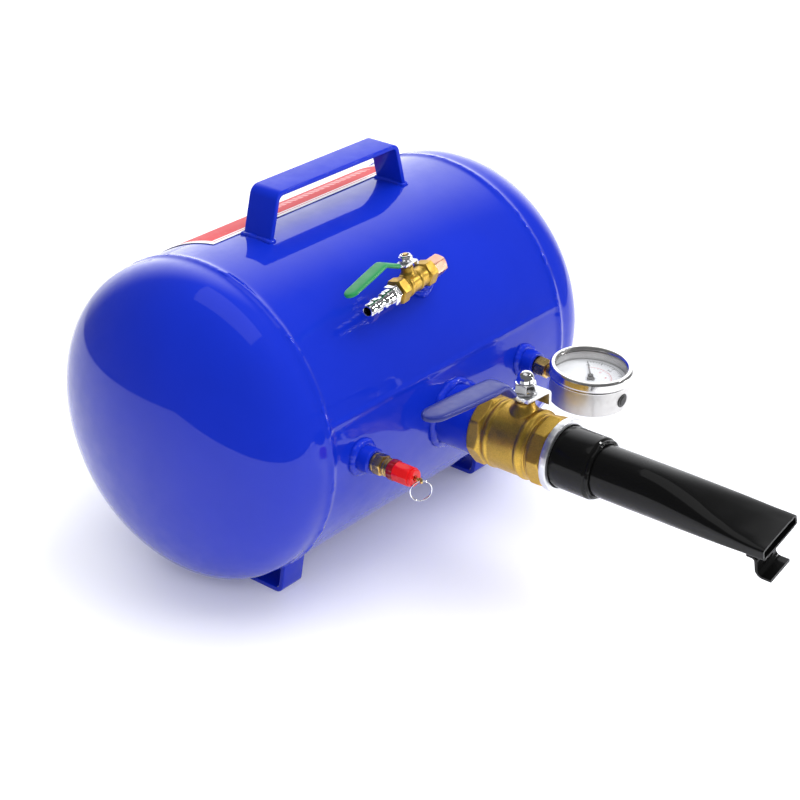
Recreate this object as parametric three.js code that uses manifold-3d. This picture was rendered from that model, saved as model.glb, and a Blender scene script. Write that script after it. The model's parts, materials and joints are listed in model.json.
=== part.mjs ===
// Portable air tank with a quick-release blast barrel, in millimetres, +Z up.
// The tank lies along X. The blast valve and barrel leave its front side along -Y.
// The origin is on the floor, under the middle of the whole object's box.
import * as THREE from "three";
import { mergeVertices } from "three/addons/utils/BufferGeometryUtils.js";
import Module from "manifold-3d";

const wasm = await Module();
wasm.setup();

// ---------------------------------------------------------------- driving dimensions

const GAP = 0.3; // clearance left between neighbouring pieces

// Tank: a rolled shell and two pressed heads, 2.5 mm sheet.
const TANK_R = 125;
const SHEET = 2.5;
const SEAM_X = 137.5; // seams between shell and heads stand this far from the middle
const FLANGE = 10; // straight part of each head before it starts to curve
const HEAD_RISE = 64.5; // depth of the curved part of each head
const BEAD_WIDTH = 8.6;
const BEAD_HEIGHT = 1.2;
const FLOOR_GAP = 9.6; // air under the tank

// Carry handle and feet: bent flat bar welded to the shell.
const HANDLE_TOP = 160.5; // above the tank axis
const HANDLE_HALF = 68.9;
const HANDLE_SPREAD = 76;
const HANDLE_WIDTH = 27;
const BAR = 4;
const FOOT_X = 107.4; // inner edge of each foot
const FOOT_WIDTH = 22.3;
const FOOT_HALF = 63.6;
const FOOT_LEAN = 4.5;

// Label wrapped over the back of the shell.
const LABEL_HALF = 107;
const LABEL_FROM = 7.4; // degrees behind the top of the tank
const LABEL_TO = 76;
const LABEL_THICK = 0.3;

// Blast outlet: the flow axis, and distances along it from the tank axis.
const OUTLET_Z = -10.4; // flow axis against the tank axis
const PIPE_R = 24.15;
const PIPE_BORE = 20.95;
const PIPE_INNER_END = 106;
const VALVE_BACK = 157.4;
const BALL_AT = 191.6;
const VALVE_FRONT = 225;
const RING_FRONT = 231;
const NIPPLE_R = 23.7;
const NIPPLE_BORE = 20.6;
const NIPPLE_END = 262;
const BARREL_R = 19.75;
const BARREL_BORE = 18.2;
const BARREL_BACK = 242;
const FLARE_START = 300;
const LEVER_SLACK = 2.5; // degrees the closed blast lever leans back to the tank
const MUZZLE = 408;
const MUZZLE_HALF_WIDTH = 22;
const MUZZLE_HALF_HEIGHT = 5;
const MUZZLE_ROLL = 13.5; // degrees, +X side up
const HOOK_REACH = 411;
const HOOK_WIDTH = 25;
const HOOK_THICK = 2.5;
const HOOK_OFFSET = -6.5; // the hook sits towards the -X end of the muzzle
const HOOK_CLEAR = 1.8; // below the muzzle, where the barrel is still rounder
const BARREL_SIDES = 24;

// Relief valve and gauge, on threaded bungs in the front of the shell.
const RELIEF_X = -106;
const RELIEF_Z = -3;
const RELIEF_BUNG_END = 138;
const GAUGE_X = 89;
const GAUGE_Z = 1;
const GAUGE_BUNG_END = 138.5;
const GAUGE_DROOP = 4; // degrees the gauge stem drops as it leaves the tank
const GAUGE_REACH = 49.5; // bung face to dial centre
const GAUGE_STEM_LOW = 4; // the stem sits this far below the middle of the case
const GAUGE_CASE_R = 30.8;
const GAUGE_BEZEL_R = 32.2;

// Fill valve, on a bung high on the front of the shell.
const FILL_X = 1;
const FILL_ANGLE = 45; // degrees above the horizontal, seen along X
const FILL_BUNG_END = 131;
const FILL_AXIS = 145; // distance of the fill valve's flow axis from the tank axis
const FILL_YAW = 5.5; // degrees the plug end swings down round the bung
const FILL_STEM_TURN = 52.5; // degrees the lever spindle leans from the bung's own direction

const BUNG_R = 10;
const BUNG_BORE = 6.9;
const THREAD_R = 6.5;

// Facets round a turned piece: tank, large fittings, small fittings, spindles and pins.
const ROUND = 40;
const LARGE = 28;
const MID = 20;
const SMALL = 10;

// The hook is the foremost point and the weld beads are the rearmost.
const FORWARD_SHIFT = (HOOK_REACH - (TANK_R + BEAD_HEIGHT)) / 2;
const AXIS_HEIGHT = TANK_R + FLOOR_GAP;

const rad = THREE.MathUtils.degToRad;

// ---------------------------------------------------------------- materials

const finish = (color, roughness, metalness) => () =>
  new THREE.MeshStandardMaterial({ color, roughness, metalness });
const bluePaint = finish(0x1f35c8, 0.25, 0.1);
const brass = finish(0xb58a2e, 0.4, 1);
const zinc = finish(0xd8dadc, 0.35, 1);
const chrome = finish(0xe6e8ea, 0.12, 1);
const stainless = finish(0xc9cbcd, 0.25, 1);
const blackPaint = finish(0x0b0b0c, 0.3, 0.1);
const blueVinyl = finish(0x3a45a8, 0.45, 0);
const greenVinyl = finish(0x1d9a56, 0.45, 0);
const redCoat = finish(0xd3120f, 0.3, 0.2);
const copper = finish(0xc98a72, 0.4, 0.9);
const springSteel = finish(0xa7abb0, 0.35, 1);
const ptfe = finish(0xf1f0ea, 0.5, 0);
const rubber = finish(0x222224, 0.7, 0);
const glass = finish(0xf3f7f8, 0.05, 0);
const dialWhite = finish(0xf2f2ee, 0.6, 0);
const labelRed = finish(0xc0262b, 0.4, 0);

// ---------------------------------------------------------------- solids

// Turns a closed three.js geometry into a manifold solid, facing outwards.
function solid(geometry) {
  const bare = geometry.clone();
  bare.deleteAttribute("normal");
  bare.deleteAttribute("uv");
  const merged = mergeVertices(bare, 1e-4);
  const points = merged.attributes.position.array;
  const source = merged.index.array;
  const corners = [];
  let volume = 0;
  const [a, b, c] = [new THREE.Vector3(), new THREE.Vector3(), new THREE.Vector3()];
  for (let i = 0; i < source.length; i += 3) {
    const [p, q, r] = [source[i], source[i + 1], source[i + 2]];
    if (p === q || q === r || r === p) continue;
    corners.push(p, q, r);
    a.fromArray(points, 3 * p);
    b.fromArray(points, 3 * q);
    c.fromArray(points, 3 * r);
    volume += a.dot(b.cross(c));
  }
  if (volume < 0) corners.reverse();
  return new wasm.Manifold(
    new wasm.Mesh({
      numProp: 3,
      vertProperties: Float32Array.from(points),
      triVerts: Uint32Array.from(corners),
    }),
  );
}

function geometryOf(body) {
  const mesh = body.getMesh();
  const geometry = new THREE.BufferGeometry();
  geometry.setAttribute("position", new THREE.BufferAttribute(mesh.vertProperties, 3));
  geometry.setIndex(new THREE.BufferAttribute(mesh.triVerts, 1));
  geometry.computeVertexNormals();
  return geometry;
}

function piece(name, body, material) {
  const mesh = new THREE.Mesh(geometryOf(body), material());
  mesh.name = name;
  return mesh;
}

// A body turned about Z from [radius, height] points; a closed loop makes a ring.
function turned(profile, segments = MID) {
  const points = profile.map(([r, z]) => new THREE.Vector2(r, z));
  return new THREE.LatheGeometry(points, segments).rotateX(Math.PI / 2);
}

const turnedSolid = (profile, segments) => solid(turned(profile, segments));

// A ring or tube about Z.
function ring(inner, outer, from, to, segments = MID) {
  return turnedSolid(
    [[inner, from], [outer, from], [outer, to], [inner, to], [inner, from]],
    segments,
  );
}

// A plain round rod about Z.
function rod(radius, from, to, segments = MID) {
  return turnedSolid([[0, from], [radius, from], [radius, to], [0, to]], segments);
}

// A prism about Z with flat sides, its end corners taken off by a cone.
function prism(sides, acrossFlats, from, to, roll, chamfer = 1.2) {
  const corner = acrossFlats / 2 / Math.cos(Math.PI / sides);
  const shape = new THREE.Shape();
  for (let i = 0; i < sides; i += 1) {
    const angle = roll + ((i + 0.5) * 2 * Math.PI) / sides;
    const [x, y] = [corner * Math.cos(angle), corner * Math.sin(angle)];
    if (i === 0) shape.moveTo(x, y);
    else shape.lineTo(x, y);
  }
  const body = new THREE.ExtrudeGeometry(shape, { depth: to - from, bevelEnabled: false });
  body.translate(0, 0, from);
  const flat = acrossFlats / 2;
  const cone = turnedSolid(
    [[0, from], [flat, from], [corner + 0.1, from + chamfer], [corner + 0.1, to - chamfer],
      [flat, to], [0, to]],
    MID,
  );
  return solid(body).intersect(cone);
}

// A box from its lowest corner to its highest corner.
function block(low, high) {
  const [x, y, z] = high.map((value, i) => value - low[i]);
  const box = new THREE.BoxGeometry(x, y, z);
  box.translate(low[0] + x / 2, low[1] + y / 2, low[2] + z / 2);
  return solid(box);
}

// The outline of a bent strip: its centre line goes through the corners, with round bends.
function stripShape(corners, thickness, bend, steps = 4) {
  const line = corners.map(([x, y]) => new THREE.Vector2(x, y));
  const sides = [[], []];
  const add = (point, normal) => {
    sides[0].push(point.clone().addScaledVector(normal, thickness / 2));
    sides[1].unshift(point.clone().addScaledVector(normal, -thickness / 2));
  };
  const normalOf = (dir) => new THREE.Vector2(-dir.y, dir.x);
  line.forEach((corner, i) => {
    const before = i > 0 && corner.clone().sub(line[i - 1]).normalize();
    const after = i < line.length - 1 && line[i + 1].clone().sub(corner).normalize();
    if (!before || !after) {
      add(corner, normalOf(before || after));
      return;
    }
    const turn = Math.atan2(before.cross(after), before.dot(after));
    const side = Math.sign(turn);
    const back = bend * Math.tan(Math.abs(turn) / 2);
    const start = corner.clone().addScaledVector(before, -back);
    const centre = start.addScaledVector(normalOf(before), side * bend);
    for (let k = 0; k <= steps; k += 1) {
      const normal = normalOf(before).rotateAround(new THREE.Vector2(), (turn * k) / steps);
      add(centre.clone().addScaledVector(normal, -side * bend), normal);
    }
  });
  return new THREE.Shape([...sides[0], ...sides[1]]);
}

// A bent strip of flat bar, its outline in XY and its width centred on Z.
function strip(corners, thickness, bend, width, steps) {
  const shape = stripShape(corners, thickness, bend, steps);
  const body = new THREE.ExtrudeGeometry(shape, { depth: width, bevelEnabled: false });
  return body.translate(0, 0, -width / 2);
}

// A closed body through rings of points, with flat ends.
function loft(rings) {
  const count = rings[0].length;
  const points = rings.flat();
  const faces = [];
  for (let row = 0; row + 1 < rings.length; row += 1) {
    for (let i = 0; i < count; i += 1) {
      const next = (i + 1) % count;
      const [a, b] = [row * count + i, row * count + next];
      faces.push(a, b, b + count, a, b + count, a + count);
    }
  }
  const last = (rings.length - 1) * count;
  for (let i = 1; i + 1 < count; i += 1) {
    faces.push(0, i + 1, i, last, last + i, last + i + 1);
  }
  const geometry = new THREE.BufferGeometry().setFromPoints(points);
  geometry.setIndex(faces);
  return geometry;
}

function group(x = 0, y = 0, z = 0, turnX = 0, turnY = 0) {
  const made = new THREE.Group();
  made.position.set(x, y, z);
  made.rotation.set(turnX, turnY, 0);
  return made;
}

// ---------------------------------------------------------------- tank

const tankSolid = (profile) => solid(turned(profile, ROUND).rotateY(Math.PI / 2));

// A round cutter that leaves the tank axis in a direction in the YZ plane.
function portCutter(radius, x, z, elevation = 0) {
  const cutter = turned([[0, 60], [radius, 60], [radius, 160], [0, 160]], MID);
  return solid(cutter.rotateX(Math.PI / 2 - elevation).translate(x, 0, z));
}

function shell() {
  const inner = TANK_R - SHEET;
  const crest = TANK_R + BEAD_HEIGHT;
  const foot = SEAM_X - BEAD_WIDTH / 2;
  const shoulder = SEAM_X - BEAD_WIDTH / 6;
  return tankSolid([
    [inner, -SEAM_X], [crest, -SEAM_X], [crest, -shoulder], [TANK_R, -foot],
    [TANK_R, foot], [crest, shoulder], [crest, SEAM_X], [inner, SEAM_X], [inner, -SEAM_X],
  ])
    .subtract(portCutter(PIPE_R + GAP, 0, OUTLET_Z))
    .subtract(portCutter(BUNG_R + GAP, RELIEF_X, RELIEF_Z))
    .subtract(portCutter(BUNG_R + GAP, GAUGE_X, GAUGE_Z))
    .subtract(portCutter(BUNG_R + GAP, FILL_X, 0, rad(FILL_ANGLE)));
}

// A head: straight flange, then a half ellipsoid; side is +1 or -1 along X.
function head(side) {
  const crest = TANK_R + BEAD_HEIGHT;
  const rim = SEAM_X + FLANGE;
  const arc = (radius, rise, steps) =>
    Array.from({ length: steps + 1 }, (_, k) => {
      const angle = (k / steps) * (Math.PI / 2);
      return [radius * Math.sin(angle), rim + rise * Math.cos(angle)];
    });
  const outer = arc(TANK_R, HEAD_RISE, 7);
  const inner = arc(TANK_R - SHEET, HEAD_RISE - SHEET, 4).reverse();
  outer[0][0] = 0;
  inner[inner.length - 1][0] = 0;
  const profile = [
    ...outer,
    [TANK_R, SEAM_X + BEAD_WIDTH / 2],
    [crest, SEAM_X + BEAD_WIDTH / 6],
    [crest, SEAM_X],
    [TANK_R - SHEET, SEAM_X],
    ...inner,
  ];
  return tankSolid(profile.map(([r, x]) => [r, side * x]));
}

// Cuts a body back so that it stands just off the shell.
function offShell(body) {
  const room = turned([[0, -160], [TANK_R + GAP, -160], [TANK_R + GAP, 160], [0, 160]], ROUND);
  return body.subtract(solid(room.rotateY(Math.PI / 2)));
}

function carryHandle() {
  const outline = [
    [-HANDLE_SPREAD, TANK_R - BAR],
    [-HANDLE_HALF + BAR / 2, HANDLE_TOP - BAR / 2],
    [HANDLE_HALF - BAR / 2, HANDLE_TOP - BAR / 2],
    [HANDLE_SPREAD, TANK_R - BAR],
  ];
  return offShell(solid(strip(outline, BAR, 6, HANDLE_WIDTH).rotateX(Math.PI / 2)));
}

// A foot: a strap bent into a U, its legs cut to sit on the shell.
function foot(side) {
  const base = -AXIS_HEIGHT + BAR / 2;
  const top = base + 38;
  const spread = FOOT_HALF - BAR / 2;
  const lean = FOOT_LEAN * (38 / 28);
  const outline = [[-spread - lean, top], [-spread, base], [spread, base], [spread + lean, top]];
  const strap = strip(outline, BAR, 5, FOOT_WIDTH);
  strap.rotateX(Math.PI / 2).rotateZ(Math.PI / 2);
  strap.translate(side * (FOOT_X + FOOT_WIDTH / 2), 0, 0);
  return offShell(solid(strap));
}

function label() {
  const shape = new THREE.Shape();
  const [from, to] = [rad(90 - LABEL_FROM), rad(90 - LABEL_TO)];
  const inner = TANK_R + GAP;
  shape.absarc(0, 0, inner + LABEL_THICK, from, to, true);
  shape.absarc(0, 0, inner, to, from, false);
  const body = new THREE.ExtrudeGeometry(shape, {
    depth: 2 * LABEL_HALF,
    bevelEnabled: false,
    curveSegments: 14,
  });
  body.translate(0, 0, -LABEL_HALF);
  return solid(body.rotateX(Math.PI / 2).rotateZ(Math.PI / 2));
}

// A threaded half coupling; distances run outwards from the tank axis.
const bung = (end) => ring(BUNG_BORE, BUNG_R, TANK_R - 8, end, MID);

// ---------------------------------------------------------------- ball valves

// A two-piece ball valve. Z is the flow, Y the spindle, and the ball centre is the origin.
function ballValveBody(v) {
  const outer = prism(v.sides, v.flats, v.back, v.back + v.endLength, rad(v.backRoll))
    .add(turnedSolid(
      [[0, v.back + 2], [v.waist, v.back + 2], [v.waist, v.drumBack - 3], [v.drum, v.drumBack],
        [v.drum, v.drumFront], [v.waist, v.drumFront + 3], [v.waist, v.joint], [0, v.joint]],
    ))
    .add(solid(turned([[0, 0], [v.neck + 3, v.drum * 0.7], [v.neck + 3, v.drum - 1],
      [v.neck, v.drum + 3], [v.neck, v.neckTop], [0, v.neckTop]], SMALL).rotateX(-Math.PI / 2)));
  return outer
    .subtract(rod(v.threadR + GAP, v.back - 1, v.back + v.threadDepth))
    .subtract(rod(v.port, v.back, 0))
    .subtract(rod(v.seatR + GAP, -v.seatBack, 0))
    .subtract(rod(v.ball + 3 * GAP, -v.ball * 0.62, v.joint + 1))
    .subtract(spindleRoom(v));
}

// The stepped hole through the neck: shoulder, spindle, packing.
function spindleRoom(v) {
  const room = [
    [0, v.ball * 0.8], [v.collar + GAP, v.ball * 0.8], [v.collar + GAP, v.collarTop + GAP],
    [v.stem + GAP, v.collarTop + GAP], [v.stem + GAP, v.packFrom], [v.packR + GAP, v.packFrom],
    [v.packR + GAP, v.neckTop + 1], [0, v.neckTop + 1],
  ];
  return solid(turned(room, SMALL).rotateX(-Math.PI / 2));
}

function ballValveCap(v) {
  const inside = v.ball + 2 * GAP;
  return prism(v.sides, v.flats, v.joint, v.front, rad(v.frontRoll))
    .add(rod(inside, v.joint - v.capSpigot, v.joint + 1))
    .subtract(rod(v.seatR + GAP, 0, v.seatBack))
    .subtract(rod(v.port, 0, v.front))
    .subtract(rod(v.frontThreadR + GAP, v.frontThreadFrom, v.front + 1));
}

function ballSolid(v, open) {
  const sphere = new THREE.SphereGeometry(v.ball, MID, MID / 2);
  const bore = rod(v.port - GAP, -v.ball - 1, v.ball + 1);
  const slot = block(
    [-v.tang / 2 - GAP, v.ball - v.tangDepth - GAP, -v.tang * 0.3 - GAP],
    [v.tang / 2 + GAP, v.ball + 1, v.tang * 0.3 + GAP],
  );
  const turnedBore = open ? bore : bore.rotate([0, 90, 0]);
  return solid(sphere).subtract(turnedBore).subtract(slot);
}

// A seat ring; side is +1 at the barrel and -1 at the tank.
function seat(v, side) {
  const reach = v.ball + GAP;
  const onBall = (r) => Math.sqrt(reach * reach - r * r);
  const inner = v.port + GAP;
  const mid = (inner + v.seatR) / 2 + GAP;
  const back = v.seatBack - GAP;
  const profile = [
    [inner, onBall(inner)], [mid, onBall(mid)], [v.seatR, onBall(mid)],
    [v.seatR, back], [inner, back], [inner, onBall(inner)],
  ];
  return turnedSolid(profile.map(([r, z]) => [r, side * z]));
}

function spindle(v) {
  const foot = v.ball + GAP;
  const shaft = turned([
    [0, foot], [v.stem, foot], [v.stem, v.collarTop - 2 * v.stem * 0.4],
    [v.collar, v.collarTop - 2 * v.stem * 0.4], [v.collar, v.collarTop], [v.stem, v.collarTop],
    [v.stem, v.stemTop], [0, v.stemTop],
  ], SMALL).rotateX(-Math.PI / 2);
  const tang = block(
    [-v.tang / 2, v.ball - v.tangDepth, -v.tang * 0.3],
    [v.tang / 2, foot + 0.5, v.tang * 0.3],
  );
  return solid(shaft).add(tang);
}

const upright = (body) => body.rotate([-90, 0, 0]);

function packing(v) {
  return upright(ring(v.stem + GAP, v.packR, v.packFrom + GAP, v.packTo, SMALL));
}

// The gland nut: a threaded skirt that presses the packing, under a hexagon.
function glandNut(v) {
  const skirt = rod(v.packR, v.packTo + GAP, v.neckTop + 1, SMALL);
  const hexagon = prism(6, v.glandFlats, v.neckTop + GAP, v.glandTop, 0, 0.4);
  const hole = rod(v.stem + GAP, v.packTo, v.glandTop + 1, SMALL);
  return upright(skirt.add(hexagon).subtract(hole));
}

// The nut that holds the lever: an acorn nut where it is domed, or else a lock nut.
function leverNut(v) {
  const base = v.plateTop + GAP;
  const top = base + v.nutTop;
  const flange = rod(v.flangeR, base, base + v.nutHigh * 0.3, SMALL);
  const hexagon = prism(6, v.nutFlats, base, base + v.nutHigh, rad(10), 0.8);
  const dome = Array.from({ length: 7 }, (_, k) => {
    const angle = (k / 6) * (Math.PI / 2);
    return [v.collarR * Math.cos(angle), top - v.collarR + v.collarR * Math.sin(angle)];
  });
  dome[6][0] = 0;
  const cap = v.domed
    ? turnedSolid([[0, base + 0.5], [v.collarR, base + 0.5], ...dome], SMALL)
    : rod(v.collarR, base, top, SMALL);
  const hole = rod(v.stem + GAP, base - 1, v.stemTop + 1, SMALL);
  return upright(flange.add(hexagon).add(cap).subtract(hole));
}

function addValveInternals(parent, moving, prefix, v, open) {
  parent.add(
    piece(`${prefix}_valve_body`, ballValveBody(v), brass),
    piece(`${prefix}_valve_end_cap`, ballValveCap(v), brass),
    piece(`${prefix}_seat_inner`, seat(v, -1), ptfe),
    piece(`${prefix}_seat_outer`, seat(v, 1), ptfe),
    piece(`${prefix}_stem_packing`, packing(v), ptfe),
    piece(`${prefix}_gland_nut`, glandNut(v), brass),
  );
  moving.add(
    piece(`${prefix}_ball`, ballSolid(v, open), chrome),
    piece(`${prefix}_stem`, spindle(v), brass),
    piece(`${prefix}_lever_nut`, leverNut(v), zinc),
  );
}

// A lever arm along -X from the spindle, with a plate, a folded stop tab and a dipped grip.
function leverArm(v) {
  const middle = v.plateTop - v.plateThick / 2;
  const line = v.arm.map(([x, y]) => [-x, middle + y]);
  const plate = strip(
    [[v.plateFront, middle - v.tabDrop], [v.plateFront, middle], line[0]],
    v.plateThick, v.plateThick, v.plateWide,
  );
  const arm = strip(line, v.plateThick, v.armBend, v.armWide);
  const hole = upright(rod(v.stem + GAP, middle - v.plateThick, v.plateTop + 1, SMALL));
  return solid(plate).add(solid(arm)).subtract(hole);
}

// The grip: a thicker strip round the outer part of the arm, with a rounded end.
function leverGrip(v) {
  const middle = v.plateTop - v.plateThick / 2;
  const line = v.grip.map(([x, y]) => [-x, middle + y]);
  const outer = solid(strip(line, v.gripThick, v.armBend, v.gripWide));
  const pocket = v.arm.map(([x, y]) => [-x, middle + y]);
  const inner = solid(strip(pocket, v.plateThick + 2 * GAP, v.armBend, v.armWide + 2 * GAP));
  const tip = -v.grip[v.grip.length - 1][0];
  const radius = v.gripWide / 2;
  const outline = new THREE.Shape();
  outline.moveTo(0, -radius);
  outline.lineTo(0, radius);
  outline.absarc(tip + radius, 0, radius, Math.PI / 2, (3 * Math.PI) / 2, false);
  const plan = new THREE.ExtrudeGeometry(outline, {
    depth: 120, bevelEnabled: false, curveSegments: 12,
  });
  plan.translate(0, 0, -60).rotateX(Math.PI / 2);
  return outer.intersect(solid(plan)).subtract(inner);
}

const MAIN = {
  sides: 8, flats: 52, back: VALVE_BACK - BALL_AT, endLength: 11, backRoll: -10.6,
  waist: 25.2, drum: 26.4, drumBack: -17, drumFront: 12, joint: 18.4, front: VALVE_FRONT - BALL_AT,
  frontRoll: 19, ball: 22, port: 15.3, threadR: PIPE_R, threadDepth: 9.8, seatR: 20,
  seatBack: 20.1, capSpigot: 5, frontThreadR: NIPPLE_R, frontThreadFrom: 22,
  neck: 7.6, neckTop: 33, stem: 3.8, collar: 5.2, collarTop: 26, packR: 5.6, packFrom: 28, packTo: 30,
  glandFlats: 13, glandTop: 36, tang: 7, tangDepth: 3.5, stemTop: 52,
  plateTop: 40, plateThick: 3, plateWide: 22, plateFront: 16, tabDrop: 11,
  arm: [[9, 0], [16, 3], [31, 19], [104, 21.5]], armBend: 8, armWide: 15,
  grip: [[21, 8.3], [31, 19], [110, 21.7]], gripThick: 6, gripWide: 21,
  nutHigh: 8, nutFlats: 15.6, flangeR: 9.3, domed: true, collarR: 6.6, nutTop: 17,
};

const FILL = {
  sides: 6, flats: 17.5, back: -24.4, endLength: 9, backRoll: 35, waist: 7.6, drum: 8.6,
  drumBack: -5, drumFront: 5, joint: 8.4, front: 17.6, frontRoll: 35, ball: 6.4, port: 4,
  threadR: THREAD_R, threadDepth: 9, seatR: 5.9, seatBack: 6.4, capSpigot: 2.9,
  frontThreadR: THREAD_R, frontThreadFrom: 10, neck: 4.7, neckTop: 13.8, stem: 2,
  collar: 3, collarTop: 8, packR: 3.4, packFrom: 9.2, packTo: 10.3, glandFlats: 7.6,
  glandTop: 15.1, tang: 3.4, tangDepth: 1.2, stemTop: 23.7, plateTop: 17.6, plateThick: 1.8,
  plateWide: 10, plateFront: 7.3, tabDrop: 3.5, arm: [[6, 0], [9.5, 1], [27.5, 9.6], [64, 4]],
  armBend: 4, armWide: 7, grip: [[12.5, 2.4], [27.5, 9.6], [70.5, 3]], gripThick: 4,
  gripWide: 11.5, nutHigh: 3.8, nutFlats: 9.2, flangeR: 5.2, domed: false, collarR: 4.2,
  nutTop: 5.1,
};

// ---------------------------------------------------------------- blast barrel

// A cross-section that eases from a circle to a flat, rolled slot.
function barrelSection(distance, radius, wall) {
  const t = THREE.MathUtils.smoothstep(distance, FLARE_START, MUZZLE);
  const wide = THREE.MathUtils.lerp(radius, MUZZLE_HALF_WIDTH - wall, t);
  const high = THREE.MathUtils.lerp(radius, MUZZLE_HALF_HEIGHT - wall, t);
  const power = THREE.MathUtils.lerp(1, 0.38, t);
  return Array.from({ length: BARREL_SIDES }, (_, i) => {
    const angle = ((i + 0.5) * 2 * Math.PI) / BARREL_SIDES;
    const [c, s] = [Math.cos(angle), Math.sin(angle)];
    const x = wide * Math.sign(c) * Math.abs(c) ** power;
    const y = high * Math.sign(s) * Math.abs(s) ** power;
    return new THREE.Vector3(x, y, distance).applyAxisAngle(
      new THREE.Vector3(0, 0, 1), rad(MUZZLE_ROLL));
  });
}

function barrelTube() {
  const stations = (from, to) => [
    from, FLARE_START, ...Array.from({ length: 7 }, (_, k) =>
      THREE.MathUtils.lerp(FLARE_START, MUZZLE, (k + 1) / 8)), to,
  ];
  const wall = BARREL_R - BARREL_BORE;
  const outer = stations(BARREL_BACK, MUZZLE).map((d) => barrelSection(d, BARREL_R, 0));
  const inner = stations(BARREL_BACK - 1, MUZZLE + 1).map((d) =>
    barrelSection(d, BARREL_BORE, wall));
  return solid(loft(outer)).subtract(solid(loft(inner)));
}

function barrelNipple() {
  const neckR = BARREL_R + GAP;
  const back = BALL_AT + MAIN.frontThreadFrom + GAP;
  return turnedSolid([
    [NIPPLE_BORE, back], [NIPPLE_R, back], [NIPPLE_R, NIPPLE_END - 3],
    [NIPPLE_R - 2.2, NIPPLE_END], [neckR, NIPPLE_END], [neckR, NIPPLE_END - 6],
    [NIPPLE_BORE, NIPPLE_END - 6], [NIPPLE_BORE, back],
  ], LARGE);
}

// The rim hook: a strip welded under the muzzle that drops and curls outwards.
function barrelHook() {
  const under = -MUZZLE_HALF_HEIGHT - HOOK_THICK / 2 - HOOK_CLEAR;
  const [root, drop] = [MUZZLE - 8.5, under - 16];
  const line = [[root - 9, under], [root, under], [root, drop], [HOOK_REACH, drop]];
  const body = strip(line, HOOK_THICK, 6.5, HOOK_WIDTH, 5);
  body.rotateY(-Math.PI / 2).translate(HOOK_OFFSET, 0, 0).rotateZ(rad(MUZZLE_ROLL));
  return solid(body);
}

// ---------------------------------------------------------------- relief valve

const RELIEF_HEX_END = 146;
const RELIEF_BODY_END = 153;
const RELIEF_CAP_END = 175;
const RELIEF_EYE_AT = 180.2;
const RELIEF_RING_R = 8;
const RELIEF_RING_YAW = 35; // degrees the ring's eye turns from X towards -Y

function reliefBody() {
  const seatFace = RELIEF_BUNG_END + 4;
  return prism(6, 14.5, RELIEF_BUNG_END + GAP, RELIEF_HEX_END, rad(12), 0.8)
    .add(rod(THREAD_R, TANK_R + 1, RELIEF_BUNG_END + 1, SMALL))
    .add(rod(6.9, RELIEF_HEX_END - 1, RELIEF_BODY_END, SMALL))
    .subtract(rod(2.6, TANK_R, seatFace + 1, SMALL))
    .subtract(rod(5.2, seatFace, RELIEF_BODY_END + 1, SMALL));
}

function reliefCap() {
  const from = RELIEF_BODY_END + GAP;
  return rod(7.8, from, 159, MID)
    .add(prism(8, 14.6, 158, RELIEF_CAP_END - 1.5, rad(12), 0.6))
    .add(rod(6.6, RELIEF_CAP_END - 3, RELIEF_CAP_END, MID))
    .subtract(rod(5.2, from - 1, RELIEF_CAP_END - 2.5, SMALL))
    .subtract(rod(1.7, from, RELIEF_CAP_END + 1, SMALL));
}

// The poppet: a seat disc, a thin stem and a flat eye that holds the pull ring.
function reliefPoppet() {
  const seatFace = RELIEF_BUNG_END + 4;
  const shaft = rod(4.4, seatFace + GAP, seatFace + 3, SMALL)
    .add(rod(1.3, seatFace + 2, RELIEF_EYE_AT, SMALL));
  const eye = turned([[0, -0.9], [2.3, -0.9], [2.3, 0.9], [0, 0.9]], SMALL);
  const hole = turned([[0, -2], [1.15, -2], [1.15, 2], [0, 2]], SMALL);
  const place = (shape) =>
    solid(shape.rotateY(Math.PI / 2 - rad(RELIEF_RING_YAW)).translate(0, 0, RELIEF_EYE_AT));
  return shaft.add(place(eye)).subtract(place(hole));
}

class Helix extends THREE.Curve {
  constructor(radius, from, to, turns) {
    super();
    Object.assign(this, { radius, from, to, turns });
  }

  getPoint(t, target = new THREE.Vector3()) {
    const angle = t * this.turns * 2 * Math.PI;
    const z = THREE.MathUtils.lerp(this.from, this.to, t);
    return target.set(this.radius * Math.cos(angle), this.radius * Math.sin(angle), z);
  }
}

function wire(curve, radius, steps, sides = 5) {
  const section = new THREE.Shape();
  for (let i = 0; i < sides; i += 1) {
    const angle = (i * 2 * Math.PI) / sides;
    const [x, y] = [radius * Math.cos(angle), radius * Math.sin(angle)];
    if (i === 0) section.moveTo(x, y);
    else section.lineTo(x, y);
  }
  return solid(new THREE.ExtrudeGeometry(section, { extrudePath: curve, steps }));
}

function reliefSpring() {
  const [from, to] = [RELIEF_BUNG_END + 8, RELIEF_CAP_END - 3.4];
  return wire(new Helix(3.6, from, to, 6), 0.45, 48);
}

function reliefRing() {
  return solid(new THREE.TorusGeometry(RELIEF_RING_R, 0.7, 6, 24));
}

// ---------------------------------------------------------------- gauge

// Gauge frame: Z is the dial's face, -Y leaves the tank, the origin is the case centre.
const CASE_BACK = -14;
const CASE_FRONT = 11;
const DIAL_TOP = 4.5;
const SECTOR_R = 15;
const PINION_R = 2.5;
const SECTOR_PIVOT = SECTOR_R + PINION_R + GAP;
const SECTOR_SWING = 45;
const NEEDLE_REST = 50; // the needle rests this far clockwise of the tank's direction
const PLATE_BACK = -7;
const PLATE_FRONT = 1.2;
const PLATE_THICK = 1.4;
const ARBOR_R = 0.9;
const TUBE_Z = -10.4; // middle of the Bourdon tube
const PLUG_Z = -3.5;
const PLUG_R = 5.6;

const towardsTank = (body) => body.rotate([-90, 0, 0]);

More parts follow.
